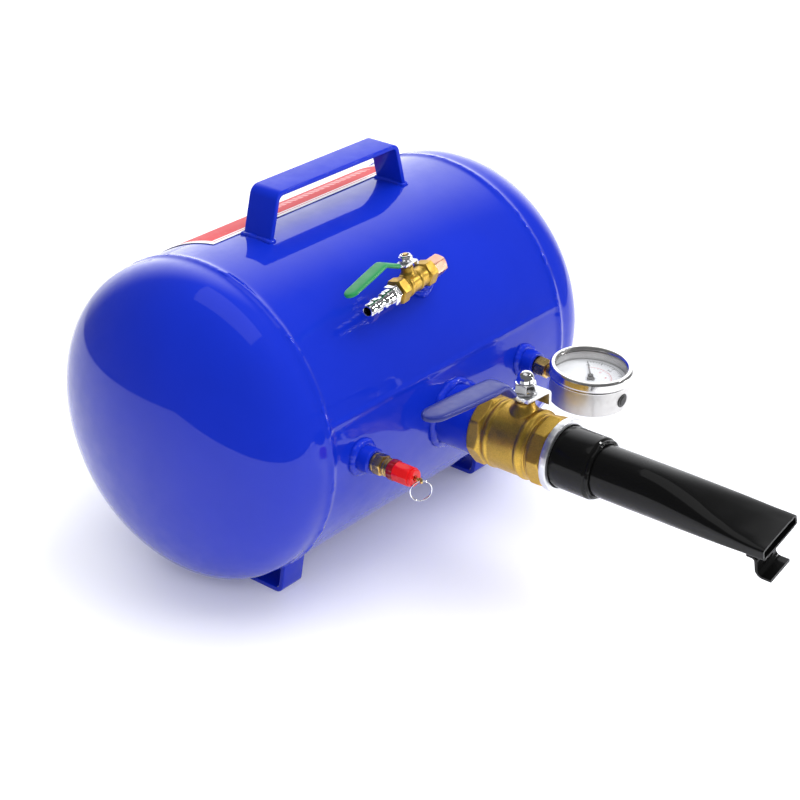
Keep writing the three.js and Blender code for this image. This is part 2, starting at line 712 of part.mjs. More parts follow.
function gaugeSocket() {
  const face = GAUGE_REACH;
  const post = rod(THREAD_R - GAP, face - 2, face + 6, SMALL)
    .add(prism(6, 14, face - 11, face - 3 * GAP, rad(8), 0.8))
    .add(rod(5.6, 22, face - 10, SMALL));
  const foot = block([-7, 19, -4], [7, 26.5, 4]);
  return post.rotate([-90, 0, 0])
    .add(foot)
    .subtract(rod(2, 22.5, face + 13, SMALL).rotate([-90, 0, 0]))
    .translate([0, 0, -GAUGE_STEM_LOW]);
}

function gaugeCase() {
  const [low, high, wall] = [CASE_BACK, CASE_FRONT, 1];
  const cup = turnedSolid([
    [0, low], [GAUGE_CASE_R - 1, low], [GAUGE_CASE_R, low + 1], [GAUGE_CASE_R, high],
    [GAUGE_CASE_R - wall, high], [GAUGE_CASE_R - wall, low + wall], [0, low + wall],
  ], LARGE);
  return cup
    .subtract(towardsTank(rod(5.6 + GAP, 20, 40, SMALL)).translate([0, 0, -GAUGE_STEM_LOW]))
    .subtract(towardsTank(rod(PLUG_R + GAP, -40, -20, SMALL)).translate([0, 0, PLUG_Z]));
}

function gaugeBezel() {
  const inner = GAUGE_CASE_R + GAP;
  const [skirt, lip, face] = [CASE_FRONT - 4, CASE_FRONT + 2.6, CASE_FRONT + 5];
  return turnedSolid([
    [inner, skirt], [GAUGE_BEZEL_R, skirt], [GAUGE_BEZEL_R, face - 1.4],
    [GAUGE_BEZEL_R - 1.4, face], [28, face], [27, face - 1], [27, lip], [inner, lip],
    [inner, skirt],
  ], LARGE);
}

function gaugeNeedle() {
  const blade = new THREE.Shape([
    new THREE.Vector2(-0.9, 0), new THREE.Vector2(0.9, 0),
    new THREE.Vector2(0.35, 21), new THREE.Vector2(-0.35, 21),
  ]);
  const tail = new THREE.Shape([
    new THREE.Vector2(0, 3), new THREE.Vector2(-3.6, -6), new THREE.Vector2(3.6, -6),
  ]);
  const flat = (shape) => {
    const body = new THREE.ExtrudeGeometry(shape, { depth: 0.6, bevelEnabled: false });
    return solid(body.rotateZ(-rad(NEEDLE_REST)).translate(0, 0, DIAL_TOP + 1.2));
  };
  return flat(blade)
    .add(flat(tail))
    .add(rod(2.4, DIAL_TOP + 0.9, DIAL_TOP + 2.6, SMALL))
    .add(rod(ARBOR_R, PLATE_BACK + GAP, DIAL_TOP + 2, SMALL))
    .add(rod(PINION_R, -4, -1.5, SMALL));
}

// The sector: an arc of gear on an arm that turns the needle's pinion.
function gaugeSector() {
  const shape = new THREE.Shape();
  const half = rad(38);
  shape.moveTo(0, 0);
  shape.lineTo(SECTOR_R * Math.cos(half), -SECTOR_R * Math.sin(half));
  shape.absarc(0, 0, SECTOR_R, -half, half, false);
  const body = new THREE.ExtrudeGeometry(shape, {
    depth: 1.6, bevelEnabled: false, curveSegments: 16,
  });
  return solid(body.translate(0, 0, -3.6))
    .add(rod(2.4, -4.2, -1.4, SMALL))
    .add(rod(ARBOR_R, PLATE_BACK + GAP, PLATE_FRONT - GAP, SMALL));
}

// The movement frame: two plates on four pillars, holed for both arbors.
function movementFrame() {
  const [left, right, near, far] = [-22, 7, -9, 19 - GAP];
  const plate = (from) => block([left, near, from], [right, far, from + PLATE_THICK]);
  const pillars = [[left + 2, near + 2], [right - 2, near + 2], [left + 2, 8], [right - 2, 8]];
  const hole = rod(ARBOR_R + GAP, PLATE_BACK - 1, PLATE_FRONT + 1, SMALL);
  return pillars
    .map(([x, y]) => rod(1.3, PLATE_BACK + 0.5, PLATE_FRONT - 0.5, SMALL).translate([x, y, 0]))
    .reduce((frame, pillar) => frame.add(pillar), plate(PLATE_BACK))
    .add(plate(PLATE_FRONT - PLATE_THICK))
    .subtract(hole)
    .subtract(hole.translate([-SECTOR_PIVOT, 0, 0]));
}

// The Bourdon tube: a flattened C fixed to the socket foot.
function bourdonTube() {
  const arc = new THREE.EllipseCurve(0, 0, 24, 24, rad(104), rad(350), false);
  const path = new THREE.CatmullRomCurve3(
    arc.getPoints(30).map((p) => new THREE.Vector3(p.x, p.y, TUBE_Z)),
  );
  const section = new THREE.Shape();
  section.absellipse(0, 0, 2.1, 1, 0, 2 * Math.PI, false, 0);
  return solid(new THREE.ExtrudeGeometry(section, {
    extrudePath: path, steps: 24, curveSegments: 4,
  }));
}

// ---------------------------------------------------------------- fill line

// The elbow: a leg screwed into the bung and a hexagonal arm towards the valve.
function fillElbow() {
  const turnArm = (body) =>
    body.rotate([0, -90, 0]).rotate([0, 0, FILL_YAW]).translate([0, 0, FILL_AXIS]);
  const valveRoom = turnArm(rod(10.4, 4, 20));
  const leg = rod(THREAD_R, TANK_R + 1, FILL_BUNG_END + 0.5, SMALL)
    .add(rod(7.4, FILL_BUNG_END + GAP, FILL_AXIS + 1, SMALL))
    .subtract(valveRoom);
  const arm = prism(6, 14.2, -9.5, 4, rad(14), 0.8).add(rod(THREAD_R, 3, 12, SMALL));
  return leg
    .add(turnArm(arm))
    .subtract(rod(3.6, TANK_R, FILL_AXIS, SMALL))
    .subtract(turnArm(rod(3.6, 0, 13, SMALL)));
}

// The quick-connect plug: thread, hexagon, shank and locking nose.
function quickPlug() {
  const start = FILL.frontThreadFrom + GAP;
  const face = FILL.front + GAP;
  const shank = [
    [THREAD_R, 0.3], [6.4, 0.3], [6.4, 11.7], [5.9, 12.3], [5.9, 15.7], [4.6, 17.2],
    [4.6, 20.7], [5.9, 22.2], [5.9, 25.7], [5.2, 26.7], [5.2, 32.2], [4.4, 33.7], [0, 33.7],
  ].map(([r, z]) => [r, face + z]);
  return turnedSolid([[0, start], [THREAD_R, start], ...shank], SMALL)
    .add(prism(6, 14, face, face + 6.7, rad(FILL.frontRoll), 0.8))
    .subtract(rod(3.4, start - 1, face + 36, SMALL));
}

// ---------------------------------------------------------------- assembly

const tank = group(0, FORWARD_SHIFT, AXIS_HEIGHT);
tank.add(
  piece("shell", shell(), bluePaint),
  piece("head_left", head(-1), bluePaint),
  piece("head_right", head(1), bluePaint),
  piece("carry_handle", carryHandle(), bluePaint),
  piece("foot_left", foot(-1), bluePaint),
  piece("foot_right", foot(1), bluePaint),
  piece("label", label(), labelRed),
);

const outwards = Math.PI / 2; // turns a group's Z to leave the tank along -Y

const outlet = group(0, 0, OUTLET_Z, outwards);
outlet.add(
  piece("outlet_pipe", ring(PIPE_BORE, PIPE_R, PIPE_INNER_END,
    VALVE_BACK + MAIN.threadDepth - GAP, LARGE), bluePaint),
  piece("lock_ring", ring(NIPPLE_R + GAP, 28.4, VALVE_FRONT + GAP, RING_FRONT, LARGE), zinc),
  piece("barrel_nipple", barrelNipple(), blackPaint),
  piece("barrel_tube", barrelTube(), blackPaint),
  piece("barrel_hook", barrelHook(), blackPaint),
);
const mainValve = group(0, 0, BALL_AT);
const mainLever = group();
addValveInternals(mainValve, mainLever, "main", MAIN, false);
const mainArm = group(0, 0, 0, 0, -rad(LEVER_SLACK));
mainArm.add(
  piece("main_lever", leverArm(MAIN), zinc),
  piece("main_lever_grip", leverGrip(MAIN), blueVinyl),
);
mainLever.add(mainArm);
mainValve.add(mainLever);
outlet.add(mainValve);
tank.add(outlet);

const relief = group(RELIEF_X, 0, RELIEF_Z, outwards);
relief.add(
  piece("relief_bung", bung(RELIEF_BUNG_END), bluePaint),
  piece("relief_body", reliefBody(), brass),
  piece("relief_cap", reliefCap(), redCoat),
  piece("relief_poppet", reliefPoppet(), brass),
  piece("relief_spring", reliefSpring(), springSteel),
);
const pullRing = group(0, 0, RELIEF_EYE_AT);
pullRing.rotation.y = -rad(RELIEF_RING_YAW) + Math.PI;
const hoop = piece("relief_ring", reliefRing(), chrome);
hoop.position.y = -RELIEF_RING_R;
pullRing.add(hoop);
relief.add(pullRing);
tank.add(relief);

const gaugePort = group(GAUGE_X, 0, GAUGE_Z, outwards);
gaugePort.add(piece("gauge_bung", bung(GAUGE_BUNG_END), bluePaint));
tank.add(gaugePort);

const gaugeStem = group(GAUGE_X, -GAUGE_BUNG_END, GAUGE_Z, rad(GAUGE_DROOP));
const gauge = group(0, -GAUGE_REACH, GAUGE_STEM_LOW);
const plug = piece("gauge_fill_plug", towardsTank(rod(PLUG_R, -32, -27.5, SMALL)), rubber);
plug.position.z = PLUG_Z;
gauge.add(
  piece("gauge_socket", gaugeSocket(), brass),
  piece("gauge_case", gaugeCase(), stainless),
  piece("gauge_bezel", gaugeBezel(), stainless),
  piece("gauge_lens", rod(GAUGE_CASE_R, CASE_FRONT + GAP, CASE_FRONT + 2.3, LARGE), glass),
  piece("gauge_dial", ring(1.6, 29.3, DIAL_TOP - 1, DIAL_TOP, LARGE), dialWhite),
  piece("gauge_needle", gaugeNeedle(), blackPaint),
  piece("gauge_movement_frame", movementFrame(), brass),
  piece("bourdon_tube", bourdonTube(), brass),
  plug,
);
const sector = group(-SECTOR_PIVOT, 0, 0);
sector.rotation.z = -rad(SECTOR_SWING / 2);
sector.add(piece("gauge_sector", gaugeSector(), brass));
gauge.add(sector);
gaugeStem.add(gauge);
tank.add(gaugeStem);

// The fill line stands on a bung whose Z points out of the tank, up and forwards.
const fillPort = group(FILL_X, 0, 0, outwards - rad(FILL_ANGLE));
fillPort.add(
  piece("fill_bung", bung(FILL_BUNG_END), bluePaint),
  piece("fill_elbow", fillElbow(), copper),
);
const fillAxis = group(0, 0, FILL_AXIS);
fillAxis.rotation.order = "ZYX";
fillAxis.rotation.set(0, -Math.PI / 2, rad(FILL_YAW));
const fillValve = group(0, 0, 4.3 - FILL.back);
fillValve.rotation.z = rad(FILL_STEM_TURN) - Math.PI / 2;
const fillLever = group();
addValveInternals(fillValve, fillLever, "fill", FILL, true);
const fillArm = group(0, 0, 0, 0, Math.PI / 2);
fillArm.add(
  piece("fill_lever", leverArm(FILL), zinc),
  piece("fill_lever_grip", leverGrip(FILL), greenVinyl),
);
fillLever.add(fillArm);
fillValve.add(fillLever, piece("quick_plug", quickPlug(), chrome));
fillAxis.add(fillValve);
fillPort.add(fillAxis);
tank.add(fillPort);

const airTank = new THREE.Group();
airTank.add(tank);

export default airTank;
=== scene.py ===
"""Looks of the portable air tank with a blast barrel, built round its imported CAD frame."""

import json
from math import acos, atan2, copysign, cos, degrees, hypot, pi, radians, sin, sqrt, tan

import bmesh
import bpy
import numpy as np
from mathutils import Matrix, Vector, noise

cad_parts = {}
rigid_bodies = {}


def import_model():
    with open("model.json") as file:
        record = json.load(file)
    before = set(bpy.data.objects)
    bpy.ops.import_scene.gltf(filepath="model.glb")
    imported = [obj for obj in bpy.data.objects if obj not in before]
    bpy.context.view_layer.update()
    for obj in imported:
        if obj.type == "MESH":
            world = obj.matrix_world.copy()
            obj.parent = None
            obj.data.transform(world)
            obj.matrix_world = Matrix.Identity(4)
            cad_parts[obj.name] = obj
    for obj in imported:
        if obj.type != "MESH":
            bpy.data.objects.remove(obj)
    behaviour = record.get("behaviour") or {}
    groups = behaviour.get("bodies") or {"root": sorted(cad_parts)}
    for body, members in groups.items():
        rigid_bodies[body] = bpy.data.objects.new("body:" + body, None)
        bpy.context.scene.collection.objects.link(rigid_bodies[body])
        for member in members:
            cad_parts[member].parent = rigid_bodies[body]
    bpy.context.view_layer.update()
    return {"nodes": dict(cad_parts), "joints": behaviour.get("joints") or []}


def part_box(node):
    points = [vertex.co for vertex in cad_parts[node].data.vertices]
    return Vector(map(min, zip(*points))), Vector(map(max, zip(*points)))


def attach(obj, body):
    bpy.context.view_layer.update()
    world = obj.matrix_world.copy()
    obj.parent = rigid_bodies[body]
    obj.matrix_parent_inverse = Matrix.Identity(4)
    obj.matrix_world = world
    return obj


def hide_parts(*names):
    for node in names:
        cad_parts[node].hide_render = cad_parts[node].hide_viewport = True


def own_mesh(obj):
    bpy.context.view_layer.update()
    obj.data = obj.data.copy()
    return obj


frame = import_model()

MM = 0.001
TAU = 2 * pi

# ---- driving dimensions, mm

TANK_R = 125.0
SEAM_X = 137.5
FLANGE = 10.0
HEAD_RISE = 64.5
BEAD_HIGH = 1.2
FLOOR_GAP = 9.6
SHEET = 2.5
STRAP_X = 118.55
LABEL_LONG = 214.0
LABEL_FROM = 7.4  # degrees behind the top of the tank
LABEL_SPAN = 68.6  # degrees of the tank that the film covers

BALL_AT = 191.6
MUZZLE = 408.0
TAPER_FROM = 300.0
SLOT_POINTS = 96  # round the barrel
MUZZLE_ROLL = radians(13.5)
HOOK_OFFSET = -6.5
LEVER_SLACK = radians(2.5)
FILL_YAW = radians(5.5)
FILL_LEAN = radians(45)
ELBOW_TO_BALL = 28.7


# ---- frames


def axes(origin, x, y):
    """A frame in the tank's millimetres from an origin and its X and Y directions."""
    x = Vector(x).normalized()
    z = x.cross(Vector(y)).normalized()
    y = z.cross(x)
    made = Matrix((x, y, z)).transposed().to_4x4()
    made.translation = Vector(origin)
    return made


shell_low, shell_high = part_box("shell")
tank_centre = (shell_low + shell_high) / 2
TANK = Matrix.Translation(tank_centre) @ Matrix.Scale(MM, 4)
TO_TANK = TANK.inverted()


def joint(name):
    """A joint's axis in the row frame and its place in tank millimetres."""
    found = next(j for j in frame["joints"] if j["name"] == name)
    return Vector(found["axis"]), TO_TANK @ Vector(found["pos_m"])


def middle(node):
    """Centre of a CAD node's box, in tank millimetres."""
    low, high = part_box(node)
    return TO_TANK @ ((low + high) / 2)


def port(node):
    """Frame of a port that leaves the tank along -Y: its Z runs outwards, its Y is up."""
    centre = middle(node)
    return axes((centre.x, 0, centre.z), (1, 0, 0), (0, 0, 1))


OUTLET = port("outlet_pipe")
VALVE = OUTLET @ Matrix.Translation((0, 0, BALL_AT))
LEVER = VALVE @ Matrix.Rotation(-LEVER_SLACK, 4, "Y")
RELIEF = port("relief_bung")
GAUGE_PORT = port("gauge_bung")

needle_axis, needle_at = joint("gauge_needle_sweep")
GAUGE = axes(needle_at, (1, 0, 0), needle_axis.cross(Vector((1, 0, 0))))

fill_spindle, fill_at = joint("fill_valve_turn")
fill_back = Vector((0, cos(FILL_LEAN), sin(FILL_LEAN)))
fill_flow = -cos(FILL_YAW) * Vector((1, 0, 0)) - sin(FILL_YAW) * fill_back
fill_side = fill_spindle.cross(fill_flow)
FILL_PORT = axes((middle("fill_bung").x, 0, 0), (1, 0, 0), fill_back)
FILL_VALVE = axes(fill_at, fill_side, fill_spindle)
FILL_LEVER = axes(fill_at, -fill_flow, fill_spindle)
FILL_ELBOW = axes(fill_at - ELBOW_TO_BALL * fill_flow, fill_side, fill_spindle)

swing_axis, swing_at = joint("relief_ring_swing")
RING = axes(swing_at, swing_axis, (0, 0, 1))

# A port frame turned so that a body made about Z stands along the frame's Y.
UPRIGHT = Matrix.Rotation(-pi / 2, 4, "X")


# ---- shapes


def rounded(corners, radius=0.5, steps=5, closed=False):
    """A polyline with rounded corners; a corner may carry a radius of its own."""
    points = [np.array(c[:2], float) for c in corners]
    out = []
    for i, p in enumerate(points):
        r = corners[i][2] if len(corners[i]) > 2 else radius
        ends = not closed and i in (0, len(points) - 1)
        before, after = points[i - 1] - p, points[(i + 1) % len(points)] - p
        lengths = np.linalg.norm(before), np.linalg.norm(after)
        if ends or r == 0 or min(lengths) < 1e-9:
            out.append(tuple(p))
            continue
        a, b = before / lengths[0], after / lengths[1]
        turn = acos(float(np.clip(-a @ b, -1, 1)))
        if turn < 0.02 or turn > 3.1:
            out.append(tuple(p))
            continue
        back = min(r * tan(turn / 2), 0.45 * lengths[0], 0.45 * lengths[1])
        r = back / tan(turn / 2)
        centre = p + (a + b) / np.linalg.norm(a + b) * hypot(back, r)
        start, end = p + a * back - centre, p + b * back - centre
        for k in range(steps + 1):
            t = k / steps
            arm = (sin((1 - t) * turn) * start + sin(t * turn) * end) / sin(turn)
            out.append(tuple(centre + arm))
    return out


def grid(rows, columns, loop_rows=False, loop_columns=True):
    """Quads over rows of points, either direction of which may close on itself."""
    faces = []
    for i in range(rows if loop_rows else rows - 1):
        for j in range(columns if loop_columns else columns - 1):
            near, far = i * columns, (i + 1) % rows * columns
            k = (j + 1) % columns
            faces.append((near + j, near + k, far + k, far + j))
    return faces


def lathe(profile, angles=96, shape=None, closed=False):
    """A profile of (radius, height) turned about Z; shape may change the radius by angle."""
    theta = np.linspace(0, TAU, angles, endpoint=False) if isinstance(angles, int) else angles
    line = np.array(profile, float)
    r = np.repeat(line[:, :1], len(theta), 1)
    z = np.repeat(line[:, 1:], len(theta), 1)
    turn = np.repeat(np.array(theta)[None], len(line), 0)
    if shape is not None:
        r = shape(r, turn, z)
    verts = np.stack([r * np.cos(turn), r * np.sin(turn), z], -1).reshape(-1, 3)
    return verts, grid(len(line), len(theta), closed)


def ring(profile, radius=0.5, angles=96, shape=None):
    """A closed ring or tube about Z with rounded edges."""
    return lathe(rounded(profile, radius, closed=True), angles, shape, True)


def disc(profile, radius=0.5, angles=96):
    """A solid turned body whose profile starts and ends on the axis."""
    return lathe(rounded(profile, radius), angles)


def flat_sided(sides, flats, roll):
    """Angles that crowd at a prism's corners, and the prism's softened outline."""
    spread = [-0.5, -0.492, -0.48, -0.46, -0.42, -0.3, -0.1, 0.1, 0.3, 0.42, 0.46, 0.48, 0.492]
    angles = [roll + (k + s) * TAU / sides for k in range(sides) for s in spread]
    centres = roll + np.arange(sides) * TAU / sides

    def outline(turn):
        facing = np.maximum(np.cos(turn[..., None] - centres), 1e-6)
        return flats / 2 / (facing**160).sum(-1) ** (1 / 160)

    return np.array(angles), outline


def nut(sides, flats, low, high, bore, roll=0.0, chamfers=(1.0, 1.0), slope=0.58):
    """A prism with its end corners turned off by cones, bored if bore is above zero."""
    angles, outline = flat_sided(sides, flats, roll)
    corner = flats / 2 / cos(pi / sides)
    rise = [0, 0.04, 0.15, 0.3, 0.5, 0.7, 0.85, 1]
    depth = [(corner - flats / 2 * 0.97) * slope * c + 1e-3 for c in chamfers]
    bottom = [low + depth[0] * k for k in rise]
    top = [high - depth[1] * k for k in reversed(rise)]
    heights = bottom + top
    rows = [(bore, low)] + [(corner, z) for z in heights] + [(bore, high)]

    def shape(r, turn, z):
        cone = np.minimum(
            flats / 2 * 0.97 + (z - low) / (slope * chamfers[0] + 1e-6),
            flats / 2 * 0.97 + (high - z) / (slope * chamfers[1] + 1e-6),
        )
        soft = 0.08
        sided = outline(turn)
        least = np.minimum(sided, cone)
        both = least - soft * np.log(np.exp((least - sided) / soft) + np.exp((least - cone) / soft))
        return np.where(r < corner - 1e-6, r, both)

    return lathe(rows, angles, shape, closed=bore > 0)


def loft(rings):
    """A body through closed rings of points, capped at both ends."""
    count = len(rings[0])
    verts = np.array(rings, float).reshape(-1, 3)
    faces = grid(len(rings), count)
    last = (len(rings) - 1) * count
    faces.append(tuple(range(count)))
    faces.append(tuple(range(last, last + count)))
    return verts, faces


def path_frames(line):
    """Points of a plane path with the normal and the distance travelled at each."""
    points = np.array(line, float)
    steps = np.diff(points, axis=0)
    lengths = np.linalg.norm(steps, axis=1)
    keep = np.concatenate([[True], lengths > 1e-6])
    points = points[keep]
    steps = np.diff(points, axis=0)
    lengths = np.linalg.norm(steps, axis=1)
    unit = steps / lengths[:, None]
    tangent = np.vstack([unit[:1], unit[:-1] + unit[1:], unit[-1:]])
    tangent /= np.linalg.norm(tangent, axis=1)[:, None]
    travel = np.concatenate([[0], np.cumsum(lengths)])
    return points, np.stack([-tangent[:, 1], tangent[:, 0]], 1), travel


def bar(path, thickness, width, bend, corner=0.7, steps=8):
    """Flat bar bent along a path in XY, its width along Z, with rounded edges."""
    points, normals, _ = path_frames(rounded(path, bend, steps))
    half = (thickness / 2, width / 2)
    edge = [(-half[0], -half[1]), (half[0], -half[1]), half, (-half[0], half[1])]
    section = rounded(edge, corner, 4, closed=True)
    rings = [[(*(p + n * u), w) for u, w in section] for p, n in zip(points, normals)]
    return loft(rings)


def grip(path, bend, profile, count=110):
    """A dipped grip along a path: profile gives half thickness and half width by distance."""
    points, _, travel = path_frames(rounded(path, bend, 14))
    ease = 0.5 - 0.5 * np.cos(np.linspace(0, pi, count))
    spots = ease * travel[-1]
    line = np.stack([np.interp(spots, travel, points[:, k]) for k in (0, 1)], 1)
    points, normals, travel = path_frames(line)
    rings = []
    for p, n, s in zip(points, normals, travel):
        thick, wide = profile(s, travel[-1])
        around = np.linspace(0, TAU, 40, endpoint=False)
        u = thick * np.sign(np.sin(around)) * np.abs(np.sin(around)) ** 0.75
        w = wide * np.sign(np.cos(around)) * np.abs(np.cos(around)) ** 0.55
        rings.append([(*(p + n * a), b) for a, b in zip(u, w)])
    return loft(rings)


def tube(points, radius, sides=12, closed=False):
    """A round tube along points; radius may be a function of point index and angle."""
    line = [Vector(p) for p in points]
    count = len(line)
    rings = []
    side = None
    for i, p in enumerate(line):
        if closed:
            tangent = line[(i + 1) % count] - line[i - 1]
        else:
            tangent = line[min(i + 1, count - 1)] - line[max(i - 1, 0)]
        tangent.normalize()
        if side is None:
            side = tangent.orthogonal()
        side = (side - tangent * side.dot(tangent)).normalized()
        other = tangent.cross(side)
        section = []
        for k in range(sides):
            angle = TAU * k / sides
            r = radius(i, angle) if callable(radius) else radius
            section.append(p + r * (cos(angle) * side + sin(angle) * other))
        rings.append([tuple(v) for v in section])
    if closed:
        return np.array(rings, float).reshape(-1, 3), grid(count, sides, loop_rows=True)
    return loft(rings)


def bead(points, radius, seed, ripple=1.5, closed=True, sides=12):
    """A lumpy weld run along points, with a ripple every few millimetres."""
    line = [Vector(p) for p in points]
    length = sum((b - a).length for a, b in zip(line, line[1:]))
    per = max(1, round(length / ripple)) * TAU / len(line)

    def lump(i, angle):
        spot = line[i] * 0.16 + Vector((seed, cos(angle) * 0.3, sin(angle) * 0.3))
        return radius * (1 + 0.42 * noise.noise(spot) + 0.035 * sin(per * i))

    return tube(line, lump, sides, closed)


def joined(*parts):
    """One mesh out of several; each part is (verts, faces) or ((verts, faces), matrix)."""
    verts, faces = [], []
    for part in parts:
        (points, polygons), place = part if isinstance(part[1], Matrix) else (part, None)
        base = len(verts)
        for p in points:
            verts.append(tuple(place @ Vector(p)) if place is not None else tuple(p))
        faces += [tuple(base + k for k in polygon) for polygon in polygons]
    return verts, faces


# ---- pieces


def new_mesh(name, shape, place):
    """A mesh in metres in the row frame, from a shape in millimetres in a frame."""
    verts, faces = shape
    data = bpy.data.meshes.new(name)
    matrix = TANK @ place
    data.from_pydata([matrix @ Vector(v) for v in verts], [], faces)
    made = bmesh.new()
    made.from_mesh(data)
    bmesh.ops.remove_doubles(made, verts=made.verts, dist=2e-6)
    bmesh.ops.dissolve_degenerate(made, edges=made.edges, dist=1e-7)
    bmesh.ops.recalc_face_normals(made, faces=made.faces)
    made.to_mesh(data)
    made.free()
    return data


link = bpy.context.scene.collection.objects.link


def finish_piece(name, data, material, body, nodes, sharp):
    """Puts a mesh in the scene on its body, in place of the CAD nodes it stands for."""
    for polygon in data.polygons:
        polygon.use_smooth = True
    data.set_sharp_from_angle(angle=radians(sharp))
    data.materials.clear()
    data.materials.append(material)
    made = bpy.data.objects.new(name, data)
    link(made)
    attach(made, body)
    if nodes:
        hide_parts(*nodes)
    return made


def piece(name, shape, place, material, nodes=(), body="tank", sharp=34, slot=None):
    finish = material.name.split(".")[0]
    slot = slot or SLOT_OF.get(finish, finish)
    data = new_mesh(name, shape, place)
    return finish_piece(name, data, material, body, nodes, sharp)


def cast(name, shapes, place, nodes, voxel, smooth, cutters=()):
    """Brass bodies grown together with soft fillets, as a casting is, then bored."""
    data = new_mesh(name, joined(*shapes), place)
    work = bpy.data.objects.new(name + "_work", data)
    link(work)
    remesh = work.modifiers.new("grow", "REMESH")
    remesh.mode = "VOXEL"
    remesh.voxel_size = voxel * MM
    soften = work.modifiers.new("soften", "SMOOTH")
    soften.factor = 0.5
    soften.iterations = smooth
    spare = []
    for k, cutter in enumerate(cutters):
        tool = bpy.data.objects.new(f"{name}_tool{k}", new_mesh("tool", cutter, place))
        link(tool)
        cut = work.modifiers.new(f"cut{k}", "BOOLEAN")
        cut.operation = "DIFFERENCE"
        cut.solver = "EXACT"
        cut.object = tool
        spare.append(tool)
    view = bpy.context.evaluated_depsgraph_get()
    made = bpy.data.meshes.new_from_object(work.evaluated_get(view))
    made.name = name
    for leftover in [work, *spare]:
        bpy.data.objects.remove(leftover)
    return finish_piece(name, made, CAST, "tank", nodes, 50)


# ---- materials


class Nodes:
    """A small builder for a node tree."""

    def __init__(self, tree):
        self.tree = tree

    def put(self, node, inputs):
        """Fills inputs by name or number: an output is linked, anything else is a value."""
        for key, value in inputs.items():
            if isinstance(value, bpy.types.NodeSocket):
                self.tree.links.new(value, node.inputs[key])
            else:
                node.inputs[key].default_value = value
        return node

    def add(self, kind, **inputs):
        named = {key.replace("_", " "): value for key, value in inputs.items()}
        return self.put(self.tree.nodes.new(kind), named)

    def ramp(self, value, low, high, start=0.0, end=1.0, interpolation="LINEAR"):
        node = self.add(
            "ShaderNodeMapRange", Value=value, From_Min=start, From_Max=end, To_Min=low, To_Max=high
        )
        node.interpolation_type = interpolation
        return node.outputs["Result"]

    def mix(self, factor, first, second):
        node = self.tree.nodes.new("ShaderNodeMix")
        return self.put(node, {0: factor, 2: first, 3: second}).outputs[0]

    def math(self, operation, a, b=0.5):
        node = self.tree.nodes.new("ShaderNodeMath")
        node.operation = operation
        return self.put(node, {0: a, 1: b}).outputs[0]


class Surface(Nodes):
    """A material and its shader, textured in the object's own coordinates."""

    def __init__(self, name):
        self.material = bpy.data.materials.new(name)
        self.material.use_nodes = True
        super().__init__(self.material.node_tree)
        self.shader = self.tree.nodes["Principled BSDF"]
        self.coords = self.add("ShaderNodeTexCoord").outputs["Object"]

    def look(self, **inputs):
        self.put(self.shader, {key.replace("_", " "): value for key, value in inputs.items()})

    def noise(self, scale, detail=3.0, rough=0.55, stretch=None):
        coords = self.coords
        if stretch:
            coords = self.add("ShaderNodeMapping", Vector=coords, Scale=stretch).outputs["Vector"]
        node = self.add(
            "ShaderNodeTexNoise", Vector=coords, Scale=scale, Detail=detail, Roughness=rough
        )
        return node.outputs["Fac"]

    def blend(self, factor, first, second):
        node = self.tree.nodes.new("ShaderNodeMix")
        node.data_type = "RGBA"
        return self.put(node, {0: factor, 6: first, 7: second}).outputs[2]

    def bump(self, heights, distance=0.0001):
        normal = None
        for height, strength in heights:
            node = self.add("ShaderNodeBump", Height=height, Strength=strength, Distance=distance)
            if normal is not None:
                self.put(node, {"Normal": normal})
            normal = node.outputs["Normal"]
        self.look(Normal=normal)


def shade(colour, factor):
    return (*(min(1.0, c * factor) for c in colour), 1.0)


def metal(name, colour, rough, grain, grain_strength, vary=0.25, wear_and_edge_shading=0.0, stretch=None, glint_specks=0.0):
    """A bare metal: tone and roughness wander, and fine grain breaks up the highlight."""
    n = Surface(name)
    patches = n.noise(90, 4)
    tone = n.blend(patches, shade(colour, 1 - vary), shade(colour, 1 + vary * 0.6))
    # Bright flecks over the grain are painted glints.
    if glint_specks:
        painted_glint_flecks = n.ramp(n.noise(grain, 2, 0.7), 0, 1, 0.3, 0.7)
        tone = n.blend(n.math("MULTIPLY", painted_glint_flecks, glint_specks), tone, shade(colour, 1.9))
    # Pointiness paints a highlight along convex edges and paints shade into hollows.
    if wear_and_edge_shading:
        edges = n.add("ShaderNodeNewGeometry").outputs["Pointiness"]
        painted_edge_highlight = n.ramp(edges, 0, 1, 0.5, 0.56)
        painted_hollow_shade = n.ramp(edges, 1, 0, 0.42, 0.495)
        tone = n.blend(n.math("MULTIPLY", painted_edge_highlight, wear_and_edge_shading), tone, shade(colour, 1.5))
        tone = n.blend(n.math("MULTIPLY", painted_hollow_shade, wear_and_edge_shading), tone, shade(colour, 0.3))
    smears = n.ramp(n.noise(240, 3), rough * 0.75, rough * 1.3, 0.3, 0.7)
    n.look(Base_Color=tone, Metallic=1.0, Roughness=smears)
    n.bump([(patches, 0.08), (n.noise(grain, 2, 0.6, stretch), grain_strength)])
    return n.material


def paint(name, colour, rough, coat=1.0, peel=0.05, coat_rough=0.04):
    """Gloss paint with a slight orange peel, dust and hairline scuffs."""
    n = Surface(name)
    scuffs = n.ramp(n.noise(420, 6, 0.7, (1, 0.12, 1)), 0, 1, 0.62, 0.75)
    n.look(
        Base_Color=n.blend(n.noise(14, 3), shade(colour, 0.9), shade(colour, 1.1)),
        Roughness=n.ramp(n.noise(60, 5), rough * 0.8, rough * 1.25, 0.3, 0.7),
        Specular_IOR_Level=0.05,
        Coat_Weight=coat,
        Coat_IOR=1.38,
        Coat_Roughness=n.ramp(scuffs, coat_rough, coat_rough + 0.12),
    )
    n.bump([(n.noise(120, 2), peel), (n.noise(30, 2), peel * 2.0)], 0.0003)
    return n.material


